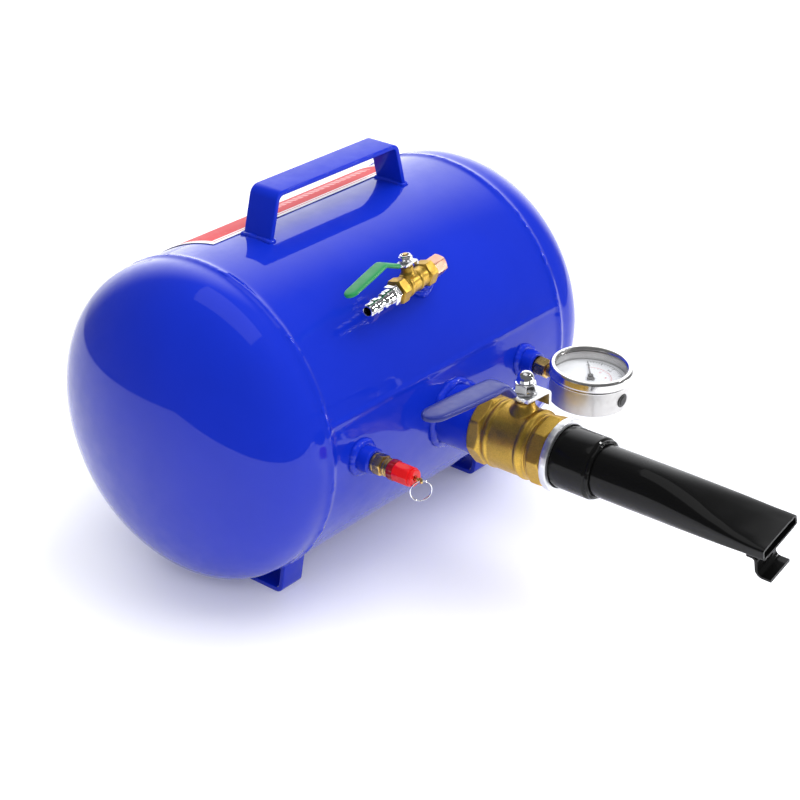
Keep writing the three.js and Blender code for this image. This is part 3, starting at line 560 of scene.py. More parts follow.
def plastic(name, colour, rough, bump=0.1, coat=0.2):
    """Moulded or dipped plastic, rubber or print, with a faint unevenness."""
    n = Surface(name)
    n.look(
        Base_Color=n.blend(n.noise(50, 4), shade(colour, 0.85), shade(colour, 1.15)),
        Roughness=n.ramp(n.noise(180, 4), rough * 0.8, rough * 1.25, 0.3, 0.7),
        Coat_Weight=coat,
        Coat_Roughness=0.15,
    )
    n.bump([(n.noise(500, 3), bump), (n.noise(70, 2), bump)])
    return n.material


def lens_glass():
    """Clear glass that reflects at a grazing angle and is faintly smeared."""
    n = Surface("gauge_glass")
    clear = n.add("ShaderNodeBsdfTransparent").outputs[0]
    gloss = n.add("ShaderNodeBsdfGlossy", Roughness=0.03).outputs[0]
    smear = n.ramp(n.noise(60, 4), 0.015, 0.035, 0.4, 0.8)
    facing = n.add("ShaderNodeLayerWeight", Blend=0.5).outputs["Facing"]
    grazing = n.math("MULTIPLY", n.math("POWER", facing, 5.0), 0.5)
    both = n.tree.nodes.new("ShaderNodeMixShader")
    n.put(both, {0: n.math("ADD", grazing, smear), 1: clear, 2: gloss})
    n.put(n.tree.nodes["Material Output"], {"Surface": both.outputs[0]})
    return n.material


def label_print():
    """Printed film: red and white fields, dashes and lines, with no text."""
    n = Surface("label_print")
    split = n.add("ShaderNodeSeparateXYZ", Vector=n.add("ShaderNodeUVMap").outputs["UV"])
    across, down = split.outputs["X"], split.outputs["Y"]

    def band(value, low, high):
        above = n.math("GREATER_THAN", value, low)
        return n.math("MULTIPLY", above, n.math("LESS_THAN", value, high))

    def block(x0, x1, y0, y1):
        return n.math("MULTIPLY", band(across, x0, x1), band(down, y0, y1))

    def stripes(value, count, share):
        """Bands over a value, each as wide as its share of the pitch."""
        return n.math("LESS_THAN", n.math("FRACT", n.math("MULTIPLY", value, count)), share)

    red, white, black = (0.62, 0.075, 0.085, 1), (0.86, 0.86, 0.85, 1), (0.03, 0.03, 0.035, 1)
    pale, grime = (0.78, 0.42, 0.42, 1), (0.4, 0.4, 0.4, 1)
    tone = n.blend(block(0.015, 0.985, 0.022, 0.978), white, red)
    for area, ink in (
        (block(0.018, 0.982, 0.03, 0.97), white),
        (block(0.024, 0.976, 0.044, 0.956), red),
        (block(0.024, 0.976, 0.33, 0.88), white),
        (n.math("MULTIPLY", stripes(across, 34.0, 0.62), block(0.07, 0.7, 0.13, 0.21)), pale),
        (block(0.56, 0.94, 0.42, 0.82), red),
        (n.math("MULTIPLY", stripes(down, 22.0, 0.45), block(0.07, 0.5, 0.42, 0.82)), black),
        (n.ramp(n.noise(300, 5), 0, 0.25, 0.6, 0.75), grime),
    ):
        tone = n.blend(area, tone, ink)
    wear_and_edge_shading = n.ramp(n.noise(90, 4), 0.5, 0.62, 0.3, 0.7)
    n.look(Base_Color=tone, Roughness=wear_and_edge_shading, Specular_IOR_Level=0.12)
    n.bump([(n.noise(200, 3), 0.02)])
    return n.material


BLUE = paint("blue_paint", (0.0025, 0.019, 0.41), 0.5, coat=1.0, peel=0.012)
BAR_BLUE = paint("blue_paint_bar", (0.0025, 0.019, 0.41), 0.5, coat=0.4, peel=0.02)
BLACK = paint("black_paint", (0.002, 0.002, 0.002), 0.5, coat=0.6, peel=0.05, coat_rough=0.06)
NEEDLE = plastic("needle_black", (0.008, 0.008, 0.008), 0.4, 0.05)
# A metal's seventh argument sets its painted edge highlights and hollow shade; the ninth flecks the
# cast brass with painted glints.
CAST = metal("cast_brass", (0.56, 0.35, 0.065), 0.4, 1000, 0.9, 0.2, 0.5, None, 0.4)
BRASS = metal("turned_brass", (0.58, 0.40, 0.15), 0.26, 900, 0.12, 0.25, 0.4, (1, 1, 0.05))
COPPER = metal("coppery_brass", (0.72, 0.4, 0.29), 0.33, 900, 0.25, 0.2, 0.3)
ZINC = metal("zinc_plate", (0.78, 0.79, 0.81), 0.36, 600, 0.2, 0.12, 0.2)
STEEL = metal("brushed_stainless", (0.62, 0.61, 0.6), 0.42, 900, 0.2, 0.08, 0.1, (1, 0.05, 1))
POLISHED = metal("polished_stainless", (0.75, 0.74, 0.73), 0.2, 700, 0.03, 0.06, 0.0)
CHROME = metal("chrome", (0.8, 0.8, 0.81), 0.09, 500, 0.05, 0.08, 0.25)
SPRING = metal("spring_steel", (0.5, 0.51, 0.53), 0.3, 900, 0.15)
RED = paint("red_coat", (0.62, 0.008, 0.01), 0.25, coat=0.8, peel=0.15)
DARK_RED = paint("dark_red_coat", (0.2, 0.004, 0.008), 0.3, coat=0.9, peel=0.15)
BLUE_VINYL = plastic("blue_vinyl", (0.008, 0.016, 0.17), 0.34, 0.1, 0.05)
GREEN_VINYL = plastic("green_vinyl", (0.002, 0.19, 0.05), 0.38, 0.1, 0.05)
RUBBER = plastic("black_rubber", (0.012, 0.012, 0.012), 0.5, 0.3, 0.1)
SEAT = plastic("seat_plastic", (0.85, 0.84, 0.8), 0.45, 0.1, 0.0)
DIAL = plastic("dial_white", (0.6, 0.61, 0.63), 0.5, 0.03, 0.1)
INK = plastic("dial_ink", (0.02, 0.02, 0.022), 0.5, 0.02, 0.1)
RED_INK = plastic("dial_red_ink", (0.5, 0.05, 0.05), 0.5, 0.02, 0.1)
GLASS = lens_glass()
PRINT = label_print()

# Slots of the materials that don't share their slot's name.
SLOT_OF = {
    "blue_paint_bar": "blue_paint", "needle_black": "black_paint", "dial_ink": "black_paint",
    "dial_red_ink": "red_coat", "dark_red_coat": "red_coat", "cast_brass": "brass",
    "turned_brass": "brass", "brushed_stainless": "stainless",
    "polished_stainless": "stainless", "dial_white": "dial_card", "gauge_glass": "glass",
}


# ---- tank

ALONG = Matrix.Rotation(pi / 2, 4, "Y")
LONG_WELD = radians(270 - 14)  # 14 degrees above -Y, in the turned frame


def bump_shape(x, centre, width):
    return np.exp(-(((x - centre) / width) ** 2))


def wander(turn, x, scale, seed):
    """Slow noise over the tank's skin."""
    out = np.zeros(turn.shape)
    for index in np.ndindex(turn.shape):
        angle = turn[index]
        spot = Vector((cos(angle) * scale, sin(angle) * scale, x[index] * scale / 100))
        out[index] = noise.noise(spot + Vector((seed, 0, 0)))
    return out


def skin(r, turn, x):
    """Adds the ring welds, the long weld and slight waviness to a turned tank piece."""
    outside = (r > TANK_R - 1.2) & (np.abs(x) < SEAM_X + FLANGE + 2)
    seam = bump_shape(np.abs(x), SEAM_X, 3.1)
    ripple = 1 + 0.12 * np.sin(turn * 150) + 0.35 * wander(turn, x, 6.0, 3.0)
    offset = (turn - LONG_WELD + pi) % TAU - pi
    reach = bump_shape(offset * TANK_R, 0, 2.6) * (np.abs(x) < SEAM_X - 1)
    wave = 0.16 * wander(turn, x, 1.4, 9.0)
    run = 0.75 * reach * (1 + 0.5 * wander(turn, x * 3, 7.0, 5.0))
    return np.where(outside, r + BEAD_HIGH * seam * ripple + run + wave * (1 - seam), r)


around = np.linspace(0, TAU, 240, endpoint=False)
near_weld = LONG_WELD + np.linspace(-8, 8, 41) / TANK_R
around = np.unique(np.concatenate([around, near_weld]))

near_seam = np.linspace(0, 9, 13)
half = np.concatenate([np.linspace(0, SEAM_X - 9, 40), SEAM_X - near_seam[::-1][1:]])
outer = [(TANK_R, x) for x in np.concatenate([-half[::-1][:-1], half])]
inner = [(TANK_R - SHEET, SEAM_X), (TANK_R - SHEET, -SEAM_X)]
piece("tank_shell", lathe(outer + inner, around, skin, True), ALONG, BLUE, ["shell"])


def head_profile(side):
    rim = SEAM_X + FLANGE
    arc = np.linspace(0, pi / 2, 40)
    curve = [(TANK_R * sin(a), rim + HEAD_RISE * cos(a)) for a in arc]
    lining = [
        ((TANK_R - SHEET) * sin(a), rim + (HEAD_RISE - SHEET) * cos(a))
        for a in reversed(arc)
    ]
    flange = [(TANK_R, SEAM_X + x) for x in near_seam[::-1]]
    profile = curve + flange + [(TANK_R - SHEET, SEAM_X)] + lining
    return [(r, side * x) for r, x in profile]


BEAD_R = 123.7  # a seam's weld bead, from the tank's axis to the bead's middle

for side, word in ((-1, "left"), (1, "right")):
    turns = np.linspace(0, TAU, 420, endpoint=False)
    seam_run = [(side * SEAM_X, BEAD_R * cos(a), BEAD_R * sin(a)) for a in turns]
    run = bead(seam_run, 2.5, 12.0 + side, 2.6, True, 14)
    piece(f"seam_weld_{word}", run, Matrix(), BLUE, sharp=60)
    shape = lathe(head_profile(side), 240, skin)
    piece(f"tank_head_{word}", shape, ALONG, BLUE, [f"head_{word}"], sharp=60)

# Bent flat bar lies in XY with its width on Z; these set it across or along the tank.
STAND = Matrix(((1, 0, 0, 0), (0, 0, -1, 0), (0, 1, 0, 0), (0, 0, 0, 1)))
SIDEWAYS = Matrix(((0, 0, 1, 0), (1, 0, 0, 0), (0, 1, 0, 0), (0, 0, 0, 1)))

handle_path = [(-76, TANK_R - 1.5), (-66.9, 158.5), (66.9, 158.5), (76, TANK_R - 1.5)]
handle = bar(handle_path, 4, 27, 6.5, 0.9, 12)
piece("handle_bar", handle, STAND, BAR_BLUE, ["carry_handle"])
base = 2 - TANK_R - FLOOR_GAP
foot_path = [(-66.2, -104.5), (-61.6, base), (61.6, base), (66.2, -104.5)]
for side, word in ((-1, "left"), (1, "right")):
    place = Matrix.Translation((side * STRAP_X, 0, 0)) @ SIDEWAYS
    shape = bar(foot_path, 4, 22.3, 5.5, 0.8, 10)
    piece(f"foot_strap_{word}", shape, place, BLUE, [f"foot_{word}"])


def leg_weld(x0, x1, y0, y1, flip=1):
    """A closed run round a rectangular leg where it meets the tank; flip -1 is underneath."""
    corners = [(x0, y0), (x1, y0), (x1, y1), (x0, y1)]
    points = []
    for k, (x, y) in enumerate(corners):
        nx, ny = corners[(k + 1) % 4]
        for s in np.linspace(0, 1, 36, endpoint=False):
            py = y + (ny - y) * s
            points.append((x + (nx - x) * s, py, flip * sqrt(TANK_R**2 - py**2)))
    return points


for side, word in ((-1, "left"), (1, "right")):
    run = leg_weld(*sorted((side * 73.4, side * 78.4)), -13.6, 13.6)
    shape = bead(run, 2.1, 2.0 + side, 2.4)
    piece(f"handle_weld_{word}", shape, Matrix(), BLUE, sharp=60)
    for end, mark in ((-1, "front"), (1, "back")):
        y0, y1 = sorted((end * 62.6, end * 68.4))
        run = leg_weld(side * STRAP_X - 11.2, side * STRAP_X + 11.2, y0, y1, -1)
        shape = bead(run, 1.9, 7.0 + side + 3 * end, 2.4)
        piece(f"foot_weld_{word}_{mark}", shape, Matrix(), BLUE, sharp=60)


def label_patch(rows=24, columns=60):
    """The printed film as a thin curved sheet just off the tank's skin."""
    turn = np.radians(np.linspace(LABEL_FROM, LABEL_FROM + LABEL_SPAN, columns))
    verts = []
    for lift, way in ((0.75, 1), (0.45, -1)):
        for x in way * np.linspace(-LABEL_LONG / 2, LABEL_LONG / 2, rows):
            r = TANK_R + lift
            verts += [(x, r * sin(t), r * cos(t)) for t in turn]
    faces = grid(2 * rows, columns, True, False)
    for start, step in ((0, 1), (columns - 1, -1)):
        for k in range(rows - 1):
            loop = (k, k + 1, 2 * rows - 2 - k, 2 * rows - 1 - k)
            faces.append(tuple(row * columns + start for row in loop)[::step])
    return np.array(verts), faces


label = piece("label_film", label_patch(), Matrix(), PRINT, ["label"])
uv = label.data.uv_layers.new(name="UVMap")
for loop in label.data.loops:
    p = TO_TANK @ label.data.vertices[loop.vertex_index].co
    down = degrees(atan2(p.y, p.z))
    uv.data[loop.index].uv = (0.5 - p.x / LABEL_LONG, (down - LABEL_FROM) / LABEL_SPAN)

# ---- outlet and blast valve

piece(
    "outlet_stub",
    ring([(20.95, 106), (24.15, 106), (24.15, 166.8), (20.95, 166.8)], 0.4),
    OUTLET, BLUE, ["outlet_pipe"],
)


def port_run(radius, place, count):
    """Where a round port meets the tank: a closed run just outside its wall."""
    points = []
    for k in range(count):
        angle = TAU * k / count
        x, y = radius * cos(angle), radius * sin(angle)
        spot = place @ Vector((x, y, 0))
        out = place.to_3x3() @ Vector((0, 0, 1))
        # Moves out along the port until it meets the tank's cylinder.
        b = spot.y * out.y + spot.z * out.z
        c = spot.y**2 + spot.z**2 - (TANK_R + 0.4) ** 2
        points.append(spot + out * (-b + sqrt(b * b - c)))
    return points


def port_weld(name, place, radius, thick, seed, ripple, count=96):
    run = bead(port_run(radius, place, count), thick, seed, ripple)
    piece(name, run, Matrix(), BLUE, sharp=60)


port_weld("outlet_weld", OUTLET, 24.9, 3.6, 1.3, 3.4, 150)

BACK_ROLL, FRONT_ROLL = radians(-10.6), radians(19)
drum = ring(
    [(15.3, -24.2, 0), (25.2, -24.2), (25.3, -20.6), (26.4, -19.2), (27.2, -18.4), (27.2, -16.2),
     (26.4, -14.8), (26.4, 9.4), (27.2, 10.8), (27.2, 12.9), (26.2, 14.2), (25.4, 15.4),
     (25.4, 18.4), (22.9, 18.4, 0), (22.9, -13.6, 0), (20.3, -13.6, 0), (20.3, -20.4, 0),
     (15.3, -20.4, 0)], 0.6, 128)
neck = ring(
    [(4.2, 23.2), (12.4, 23.2), (10.6, 26), (8.8, 28.2), (7.7, 30.6), (7.6, 33), (4.2, 33)],
    0.5, 64)
spindle_cut = lathe(
    [(0, 17), (5.5, 17), (5.5, 26.3), (4.1, 26.3), (4.1, 28), (5.9, 28), (5.9, 35), (0, 35)], 48)
cast(
    "blast_valve_body",
    [nut(8, 52, -34.2, -22.6, 24.45, BACK_ROLL, (1.3, 1.3)), drum, (neck, UPRIGHT)],
    VALVE, ["main_valve_body"], 0.5, 3,
    [joined((spindle_cut, UPRIGHT))],
)
cast(
    "blast_valve_end",
    [nut(8, 52, 20.4, 33.4, 24.0, FRONT_ROLL, (1.3, 1.3)),
     ring([(15.3, 18.7), (25.6, 18.7), (25.6, 22), (15.3, 22)], 0.3),
     ring([(20.4, 13.5), (22.5, 13.5), (22.5, 20), (20.4, 20)], 0.2)],
    VALVE, ["main_valve_end_cap"], 0.45, 3,
)
piece(
    "blast_gland_nut", nut(6, 13, 33.3, 36, 4.1, 0, (0.6, 0.6)),
    VALVE @ UPRIGHT, BRASS, ["main_gland_nut"],
)


def nicked(r, turn, z):
    """Light tool marks round a zinc ring."""
    marks = 0.12 * np.sin(turn * 7 + 1) * np.sin(turn * 23) + 0.05 * np.sin(turn * 61)
    return np.where(r > 26, r + marks - 0.1, r)


piece(
    "barrel_lock_ring",
    ring([(24.0, 33.7), (28.4, 33.7), (28.4, 39.4), (24.0, 39.4)], 0.9, 160, nicked),
    VALVE, ZINC, ["lock_ring"],
)
piece(
    "barrel_socket",
    ring([(20.6, 214), (23.7, 214), (23.7, 259.6, 1.5), (21.6, 262, 1), (20.1, 262),
          (20.1, 256), (20.6, 256)], 0.4),
    OUTLET, BLACK, ["barrel_nipple"],
)
circle = [
    (20.6 * cos(a), 20.6 * sin(a), 262.3)
    for a in np.linspace(0, TAU, 180, endpoint=False)
]
piece("barrel_weld", bead(circle, 1.8, 4.4, 2.6), OUTLET, BLACK, sharp=60)


def slot_section(distance, radius, wall):
    """The barrel's cross-section: a circle that eases into a flat, rolled slot."""
    t = min(max((distance - TAPER_FROM) / (MUZZLE - TAPER_FROM), 0), 1)
    t = t * t * (3 - 2 * t)
    wide = radius + (22 - wall - radius) * t
    high = radius + (5 - wall - radius) * t
    power = 1 - 0.72 * t
    points = []
    for k in range(SLOT_POINTS):
        angle = (k + 0.5) * TAU / SLOT_POINTS
        c, s = cos(angle), sin(angle)
        x = wide * copysign(abs(c) ** power, c)
        y = high * copysign(abs(s) ** power, s)
        ragged = 0.5 * noise.noise(Vector((x * 0.35, y * 0.35, 7))) if t > 0.999 else 0
        dent = 0.35 * t * noise.noise(Vector((x * 0.09, y * 0.2, distance * 0.05)))
        cr, sr = cos(MUZZLE_ROLL), sin(MUZZLE_ROLL)
        y += dent
        points.append((x * cr - y * sr, x * sr + y * cr, distance + ragged))
    return points


stations = np.concatenate(
    [np.linspace(242, TAPER_FROM, 10), np.linspace(TAPER_FROM + 2, MUZZLE, 60)]
)
walls = [slot_section(d, 19.75, 0) for d in stations]
bores = [slot_section(d, 18.2, 1.55) for d in stations[::-1]]
barrel = (np.array(walls + bores).reshape(-1, 3), grid(len(walls) * 2, SLOT_POINTS, True))
piece("barrel_pipe", barrel, OUTLET, BLACK, ["barrel_tube"], sharp=50)

# Hook path: distance along the barrel, height below its middle; its width lies across.
under = -5 - 1.25 - 1.8
drop = under - 16
hook_path = [
    (MUZZLE - 15.6, under), (MUZZLE - 8.5, under), (MUZZLE - 8.5, drop, 9), (411, drop),
]
across = Matrix(((0, 0, 1, HOOK_OFFSET), (0, 1, 0, 0), (1, 0, 0, 0), (0, 0, 0, 1)))
piece(
    "rim_hook", bar(hook_path, 2.5, 25, 6.5, 0.5, 10),
    OUTLET @ Matrix.Rotation(MUZZLE_ROLL, 4, "Z") @ across,
    BLACK, ["barrel_hook"],
)

# Blast lever: plate with a folded tab, rising arm, dipped grip and acorn nut.
plate = bar([(16, 27.5), (16, 38.5), (-10, 38.5)], 3, 22, 3.2, 0.35)
arm = bar([(0, 38.5), (-9, 38.5), (-16, 41.5), (-31, 57.5), (-100, 59.9)], 2.9, 15, 8, 0.4)
piece(
    "blast_lever_plate", joined(plate, arm), LEVER, ZINC, ["main_lever"],
    "blast_lever",
)


def dipped(thick, stations, widths, narrows, back, start, rise):
    """A grip's half thickness and half width by distance, rounded over its last stretch."""

    def profile(s, length):
        wide = np.interp(s, [*stations, length - narrows, length], widths)
        left = length - s
        near = min(1.0, max(0.02, 1 - ((back - left) / back) ** 2)) if left < back else 1
        swell = min(1.0, start + s / rise)
        return thick * (0.45 + 0.55 * near**0.5) * swell, wide * near**0.5

    return profile


blast_grip = dipped(3.0, (0, 12, 30, 60), (8.2, 9.3, 10.5, 10.5, 9.6, 9.2), 12, 12, 0.55, 3)
piece(
    "blast_lever_grip", grip([(-20, 46.2), (-31, 57.5), (-110.5, 60.6)], 9, blast_grip), LEVER,
    BLUE_VINYL, ["main_lever_grip"], "blast_lever", sharp=70,
)


ACORN_BASE, ACORN_TOP, DOME_R = 40.3, 57.2, 6.5
dome = [
    (DOME_R * cos(a), ACORN_TOP - DOME_R + DOME_R * sin(a))
    for a in np.linspace(0, pi / 2, 14)[:-1]
]
acorn = joined(
    disc([(0, ACORN_BASE), (9.3, ACORN_BASE), (9.3, ACORN_BASE + 1.2), (DOME_R, ACORN_BASE + 2),
          (0, ACORN_BASE + 2)], 0.3, 64),
    nut(6, 15.6, ACORN_BASE + 0.4, ACORN_BASE + 8, 0, radians(10), (0.2, 1.0)),
    lathe([(0, ACORN_BASE + 0.5), (DOME_R, ACORN_BASE + 0.5), *dome, (0, ACORN_TOP)], 64),
)
piece(
    "blast_acorn_nut", acorn, VALVE @ UPRIGHT, CHROME, ["main_lever_nut"], "blast_lever",
    slot="zinc_plate",
)

# ---- relief valve


def bung(name, place, end, node):
    shape = ring([(6.9, 119), (10, 119), (10, end, 1.6), (6.9, end, 0.6)], 0.6)
    piece(name, shape, place, BLUE, [node])


bung("relief_boss", RELIEF, 138, "relief_bung")
port_weld("relief_weld", RELIEF, 10.6, 3.6, 6.1, 3.0)
ROLL = radians(12)
relief_hex = nut(6, 14.5, 140.2, 147.2, 5.2, ROLL, (0.9, 0.9))
relief_collar = ring(
    [(2.6, 138.3), (7.4, 138.3), (7.4, 140.4), (5.5, 140.4), (5.5, 142), (2.6, 142)], 0.3
)
relief_neck = ring(
    [(5.2, 147), (6.3, 147), (6.3, 148.4), (7.1, 148.8), (7.1, 150.2), (6.5, 150.6), (6.5, 151.4),
     (7.1, 151.8), (7.1, 153), (5.2, 153)], 0.15)
relief_thread = ring([(2.6, 126), (6.4, 126), (6.4, 138.6), (2.6, 138.6)], 0.3)
piece(
    "relief_valve_body", joined(relief_thread, relief_collar, relief_hex, relief_neck), RELIEF,
    BRASS, ["relief_body"],
)


def scalloped(r, turn, z):
    return np.where(r > 7, r + 0.22 * np.cos(turn * 14) - 0.1, r)


rim = ring([(5.3, 153.3), (7.8, 153.3), (7.8, 158.8), (5.3, 158.8)], 0.8, 168, scalloped)
piece("relief_cap_rim", rim, RELIEF, DARK_RED)
cap_top = joined(
    nut(8, 14.6, 158.4, 172.6, 5.2, ROLL, (1.0, 1.6), 0.9),
    ring([(1.7, 170.4), (6.6, 170.4), (6.6, 175), (1.7, 175)], 0.9, 64),
)
piece("relief_cap_top", cap_top, RELIEF, RED, ["relief_cap"])
eye_at = (RELIEF.inverted() @ swing_at).z
pin = disc(
    [(0, 142.3), (4.4, 142.3), (4.4, 145), (1.35, 145.4), (1.35, eye_at - 2), (0, eye_at - 2)],
    0.2, 32)
eye_turn = Matrix.Translation((0, 0, eye_at)) @ (RELIEF.inverted() @ RING).to_3x3().to_4x4()
eye = ring([(1.1, -0.8), (2.35, -0.8), (2.35, 0.8), (1.1, 0.8)], 0.35, 48)
piece(
    "relief_pin", joined(pin, (eye, eye_turn @ Matrix.Rotation(pi / 2, 4, "Y"))), RELIEF,
    BRASS, ["relief_poppet"], "poppet",
)

# The spring sits on the poppet's disc.
SPRING_LOW, SPRING_TOP, SPRING_WIRE, SPRING_R, TURNS, PULL = 145.9, 169.8, 0.45, 3.6, 6, 3.0
spring_pitch = (SPRING_TOP - SPRING_LOW) / (TURNS * TAU)
helix = [
    (SPRING_R * cos(a), SPRING_R * sin(a), SPRING_LOW + spring_pitch * a)
    for a in np.linspace(0, TURNS * TAU, 217)
]
spring = piece(
    "relief_coil", tube(helix, SPRING_WIRE, 8), RELIEF, SPRING, ["relief_spring"], sharp=60
)
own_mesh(spring)
coil = []
for k in range(181):
    angle = TAU * 2 * k / 180 + 0.6
    r = 8.0 + 0.05 * sin(k * 0.3)
    coil.append((r * cos(angle), -8 + r * sin(angle), 0.8 * (k / 180 - 0.5)))
split_ring = tube(coil, 0.42, 10)
piece("relief_split_ring", split_ring, RING, CHROME, ["relief_ring"], "pull_ring", sharp=60)

# ---- gauge

bung("gauge_boss", GAUGE_PORT, 138.5, "gauge_bung")
port_weld("gauge_weld", GAUGE_PORT, 10.6, 3.3, 8.4, 3.0)
case = ring(
    [(0.0, -14, 0), (28.6, -14, 0.6), (29.4, -13.4, 0.5), (30.8, -13.2, 0.8), (30.8, 11),
     (29.8, 11), (29.8, -12.9, 0.6), (0.0, -12.9, 0)], 0.3, 128)
piece("gauge_can", case, GAUGE, STEEL, ["gauge_case"])
bezel = ring(
    [(31.05, 6.6), (32.0, 6.4, 0.4), (32.3, 7.2, 0.5), (31.9, 8.4, 0.5), (32.2, 9.6, 0.8),
     (32.2, 14.4, 1.0), (31.0, 16, 1.0), (28.6, 16, 0.8), (27.5, 14.6, 0.4), (27.0, 13.4, 0.2),
     (30.9, 13.4, 0), (31.05, 12)], 0.3, 160)
piece("gauge_rim", bezel, GAUGE, POLISHED, ["gauge_bezel"])
lens = disc([(0, 11.4), (30.7, 11.4), (30.7, 13.2), (0, 13.2)], 0.2, 128)
piece("gauge_window", lens, GAUGE, GLASS, ["gauge_lens"])
face = ring([(1.7, 3.5), (29.2, 3.5), (29.2, 4.5), (1.7, 4.5)], 0.2, 128)
piece("gauge_face", face, GAUGE, DIAL, ["gauge_dial"])


INK_LOW, INK_TOP = 4.53, 4.58  # the dial's ink, as heights in the gauge's frame


def tick(angle, near, far, wide):
    """A flat printed stroke along a radius, as a thin plate."""
    c, s = cos(angle), sin(angle)
    points = []
    for h in (INK_LOW, INK_TOP):
        for r, w in ((near, -wide), (far, -wide), (far, wide), (near, wide)):
            points.append((r * c - w * s, r * s + w * c, h))
    faces = [(3, 2, 1, 0), (4, 5, 6, 7), (0, 1, 5, 4), (1, 2, 6, 5), (2, 3, 7, 6), (3, 0, 4, 7)]
    return np.array(points), faces


def arc_line(radius, wide, start, end):
    """A flat printed arc, as a thin strip."""
    low, high = radius - wide, radius + wide
    rows = []
    for angle in np.linspace(start, end, 120):
        c, s = cos(angle), sin(angle)
        rows.append([(low * c, low * s, INK_LOW), (high * c, high * s, INK_LOW),
                     (high * c, high * s, INK_TOP), (low * c, low * s, INK_TOP)])
    return loft(rows)


def lettering(text, size, spot):
    """A dial number as a thin mesh, upright for a dial whose top faces away from the tank."""
    curve = bpy.data.curves.new("number", "FONT")
    curve.body = text
    curve.size = size
    curve.extrude = 0.03
    curve.align_x = "CENTER"
    curve.align_y = "CENTER"
    holder = bpy.data.objects.new("number", curve)
    link(holder)
    view = bpy.context.evaluated_depsgraph_get()
    data = bpy.data.meshes.new_from_object(holder.evaluated_get(view))
    verts = [(spot[0] - v.co.x, spot[1] - v.co.y, 4.55 + v.co.z) for v in data.vertices]
    faces = [tuple(p.vertices) for p in data.polygons]
    bpy.data.objects.remove(holder)
    return np.array(verts), faces


ZERO = radians(40)  # the scale's start, and the needle's direction at rest
SWEEP = radians(-270)


def dial_scale(name, ink, rim, ticks, reach, widths, numbers, size, spot):
    """An arc with ticks and numbers; reach and widths are for long and short ticks."""
    strokes = [arc_line(rim, 0.12, ZERO, ZERO + SWEEP)]
    for k in range(ticks + 1):
        short = int(k % 5 > 0)
        strokes.append(tick(ZERO + SWEEP * k / ticks, reach[short], rim, widths[short]))
    for share, text in numbers:
        angle = ZERO + SWEEP * share
        strokes.append(lettering(text, size, (spot * cos(angle), spot * sin(angle))))
    piece(name, joined(*strokes), GAUGE, ink, sharp=20)


outer_numbers = [(k / 5, str(2 * k)) for k in range(6)]
inner_numbers = [(k / 6, str(30 * k)) for k in range(1, 6)]
dial_scale("gauge_scale", INK, 25.6, 50, (22.2, 23.8), (0.3, 0.16), outer_numbers, 4.2, 19.6)
dial_scale(
    "gauge_inner_scale", RED_INK, 16.4, 30, (14.0, 14.8), (0.1, 0.1), inner_numbers, 2.3, 11.8
)


def flat_plate(outline, low, high):
    """An upright prism over a plane outline."""
    return loft([[(x, y, z) for x, y in outline] for z in (low, high)])


blade = flat_plate([(-0.55, 0), (0.55, 0), (0.16, 21), (-0.16, 21)], 5.7, 6.1)
tail_outline = rounded([(-0.5, 4.5), (-3.3, -5.2), (3.3, -5.2), (0.5, 4.5)], 0.5, 4, True)
tail = flat_plate(tail_outline, 5.6, 6.2)
hub = disc([(0, 5.4), (2.2, 5.4), (2.2, 7.1), (0, 7.1)], 0.4, 40)
arbor = disc([(0, -6.7), (0.9, -6.7), (0.9, 5.6), (0, 5.6)], 0.1, 24)
pinion = disc([(0, -4), (2.5, -4), (2.5, -1.5), (0, -1.5)], 0.1, 24)
turn_to_zero = Matrix.Rotation(ZERO - pi / 2, 4, "Z")
pointer = joined((blade, turn_to_zero), (tail, turn_to_zero), hub, arbor, pinion)
piece("gauge_pointer", pointer, GAUGE, NEEDLE, ["gauge_needle"], "needle")
plug_z = (GAUGE.inverted() @ middle("gauge_fill_plug")).z
INWARD = Matrix.Rotation(-pi / 2, 4, "X")  # a body made about Z points along +Y
plug_place = GAUGE @ Matrix.Translation((0, 0, plug_z)) @ INWARD
stopper = disc(
    [(0, -31.8), (3.0, -31.9, 0.6), (4.0, -31.1, 0.3), (5.6, -31.4, 0.7), (5.6, -27.6),
     (0, -27.6)], 0.3, 48)
piece("gauge_stopper", stopper, plug_place, RUBBER, ["gauge_fill_plug"])
STEM_PLACE = GAUGE @ Matrix.Translation((0, 0, -4)) @ INWARD
stem = joined(
    nut(6, 14, 38.5, 48.5, 2, radians(8), (0.9, 0.9)),
    ring([(2, 22.6), (5.5, 22.6), (5.5, 39), (2, 39)], 0.3),
    ring([(2, 48), (6.1, 48), (6.1, 55), (2, 55)], 0.3),
    disc([(0, 19.2), (6.5, 19.2), (6.5, 23), (0, 23)], 0.3, 4),
)
piece("gauge_stem", stem, STEM_PLACE, BRASS, ["gauge_socket"])

# ---- fill line

bung("fill_boss", FILL_PORT, 131, "fill_bung")
port_weld("fill_weld", FILL_PORT, 10.6, 3.0, 3.7, 3.0)
HEX_ROLL = radians(14)
elbow_leg = ring(
    [(3.6, 126), (6.4, 126), (6.4, 131), (7.3, 131.3), (7.3, 135.4), (3.6, 135.4)], 0.4)
leg_place = FILL_ELBOW.inverted() @ FILL_PORT
elbow = joined(
    (elbow_leg, leg_place),
    nut(6, 14.2, -9.5, 4, 0, HEX_ROLL, (1.0, 1.0)),
    disc([(0, 3.4), (6.4, 3.4), (6.4, 12), (0, 12)], 0.3, 48),
)
piece("fill_elbow_body", elbow, FILL_ELBOW, COPPER, ["fill_elbow"])
fill_drum = ring(
    [(4, -15.6), (7.9, -15.6), (7.6, -12), (7.8, -8.4), (8.7, -7.4), (8.7, -5.8), (8.0, -4.8),
     (8.0, 3.6), (8.6, 4.6), (8.6, 6.2), (7.9, 7.2), (7.9, 8.3), (7.2, 8.3), (7.2, -4),
     (6.2, -4), (6.2, -6.4), (4, -6.4)], 0.3, 96)
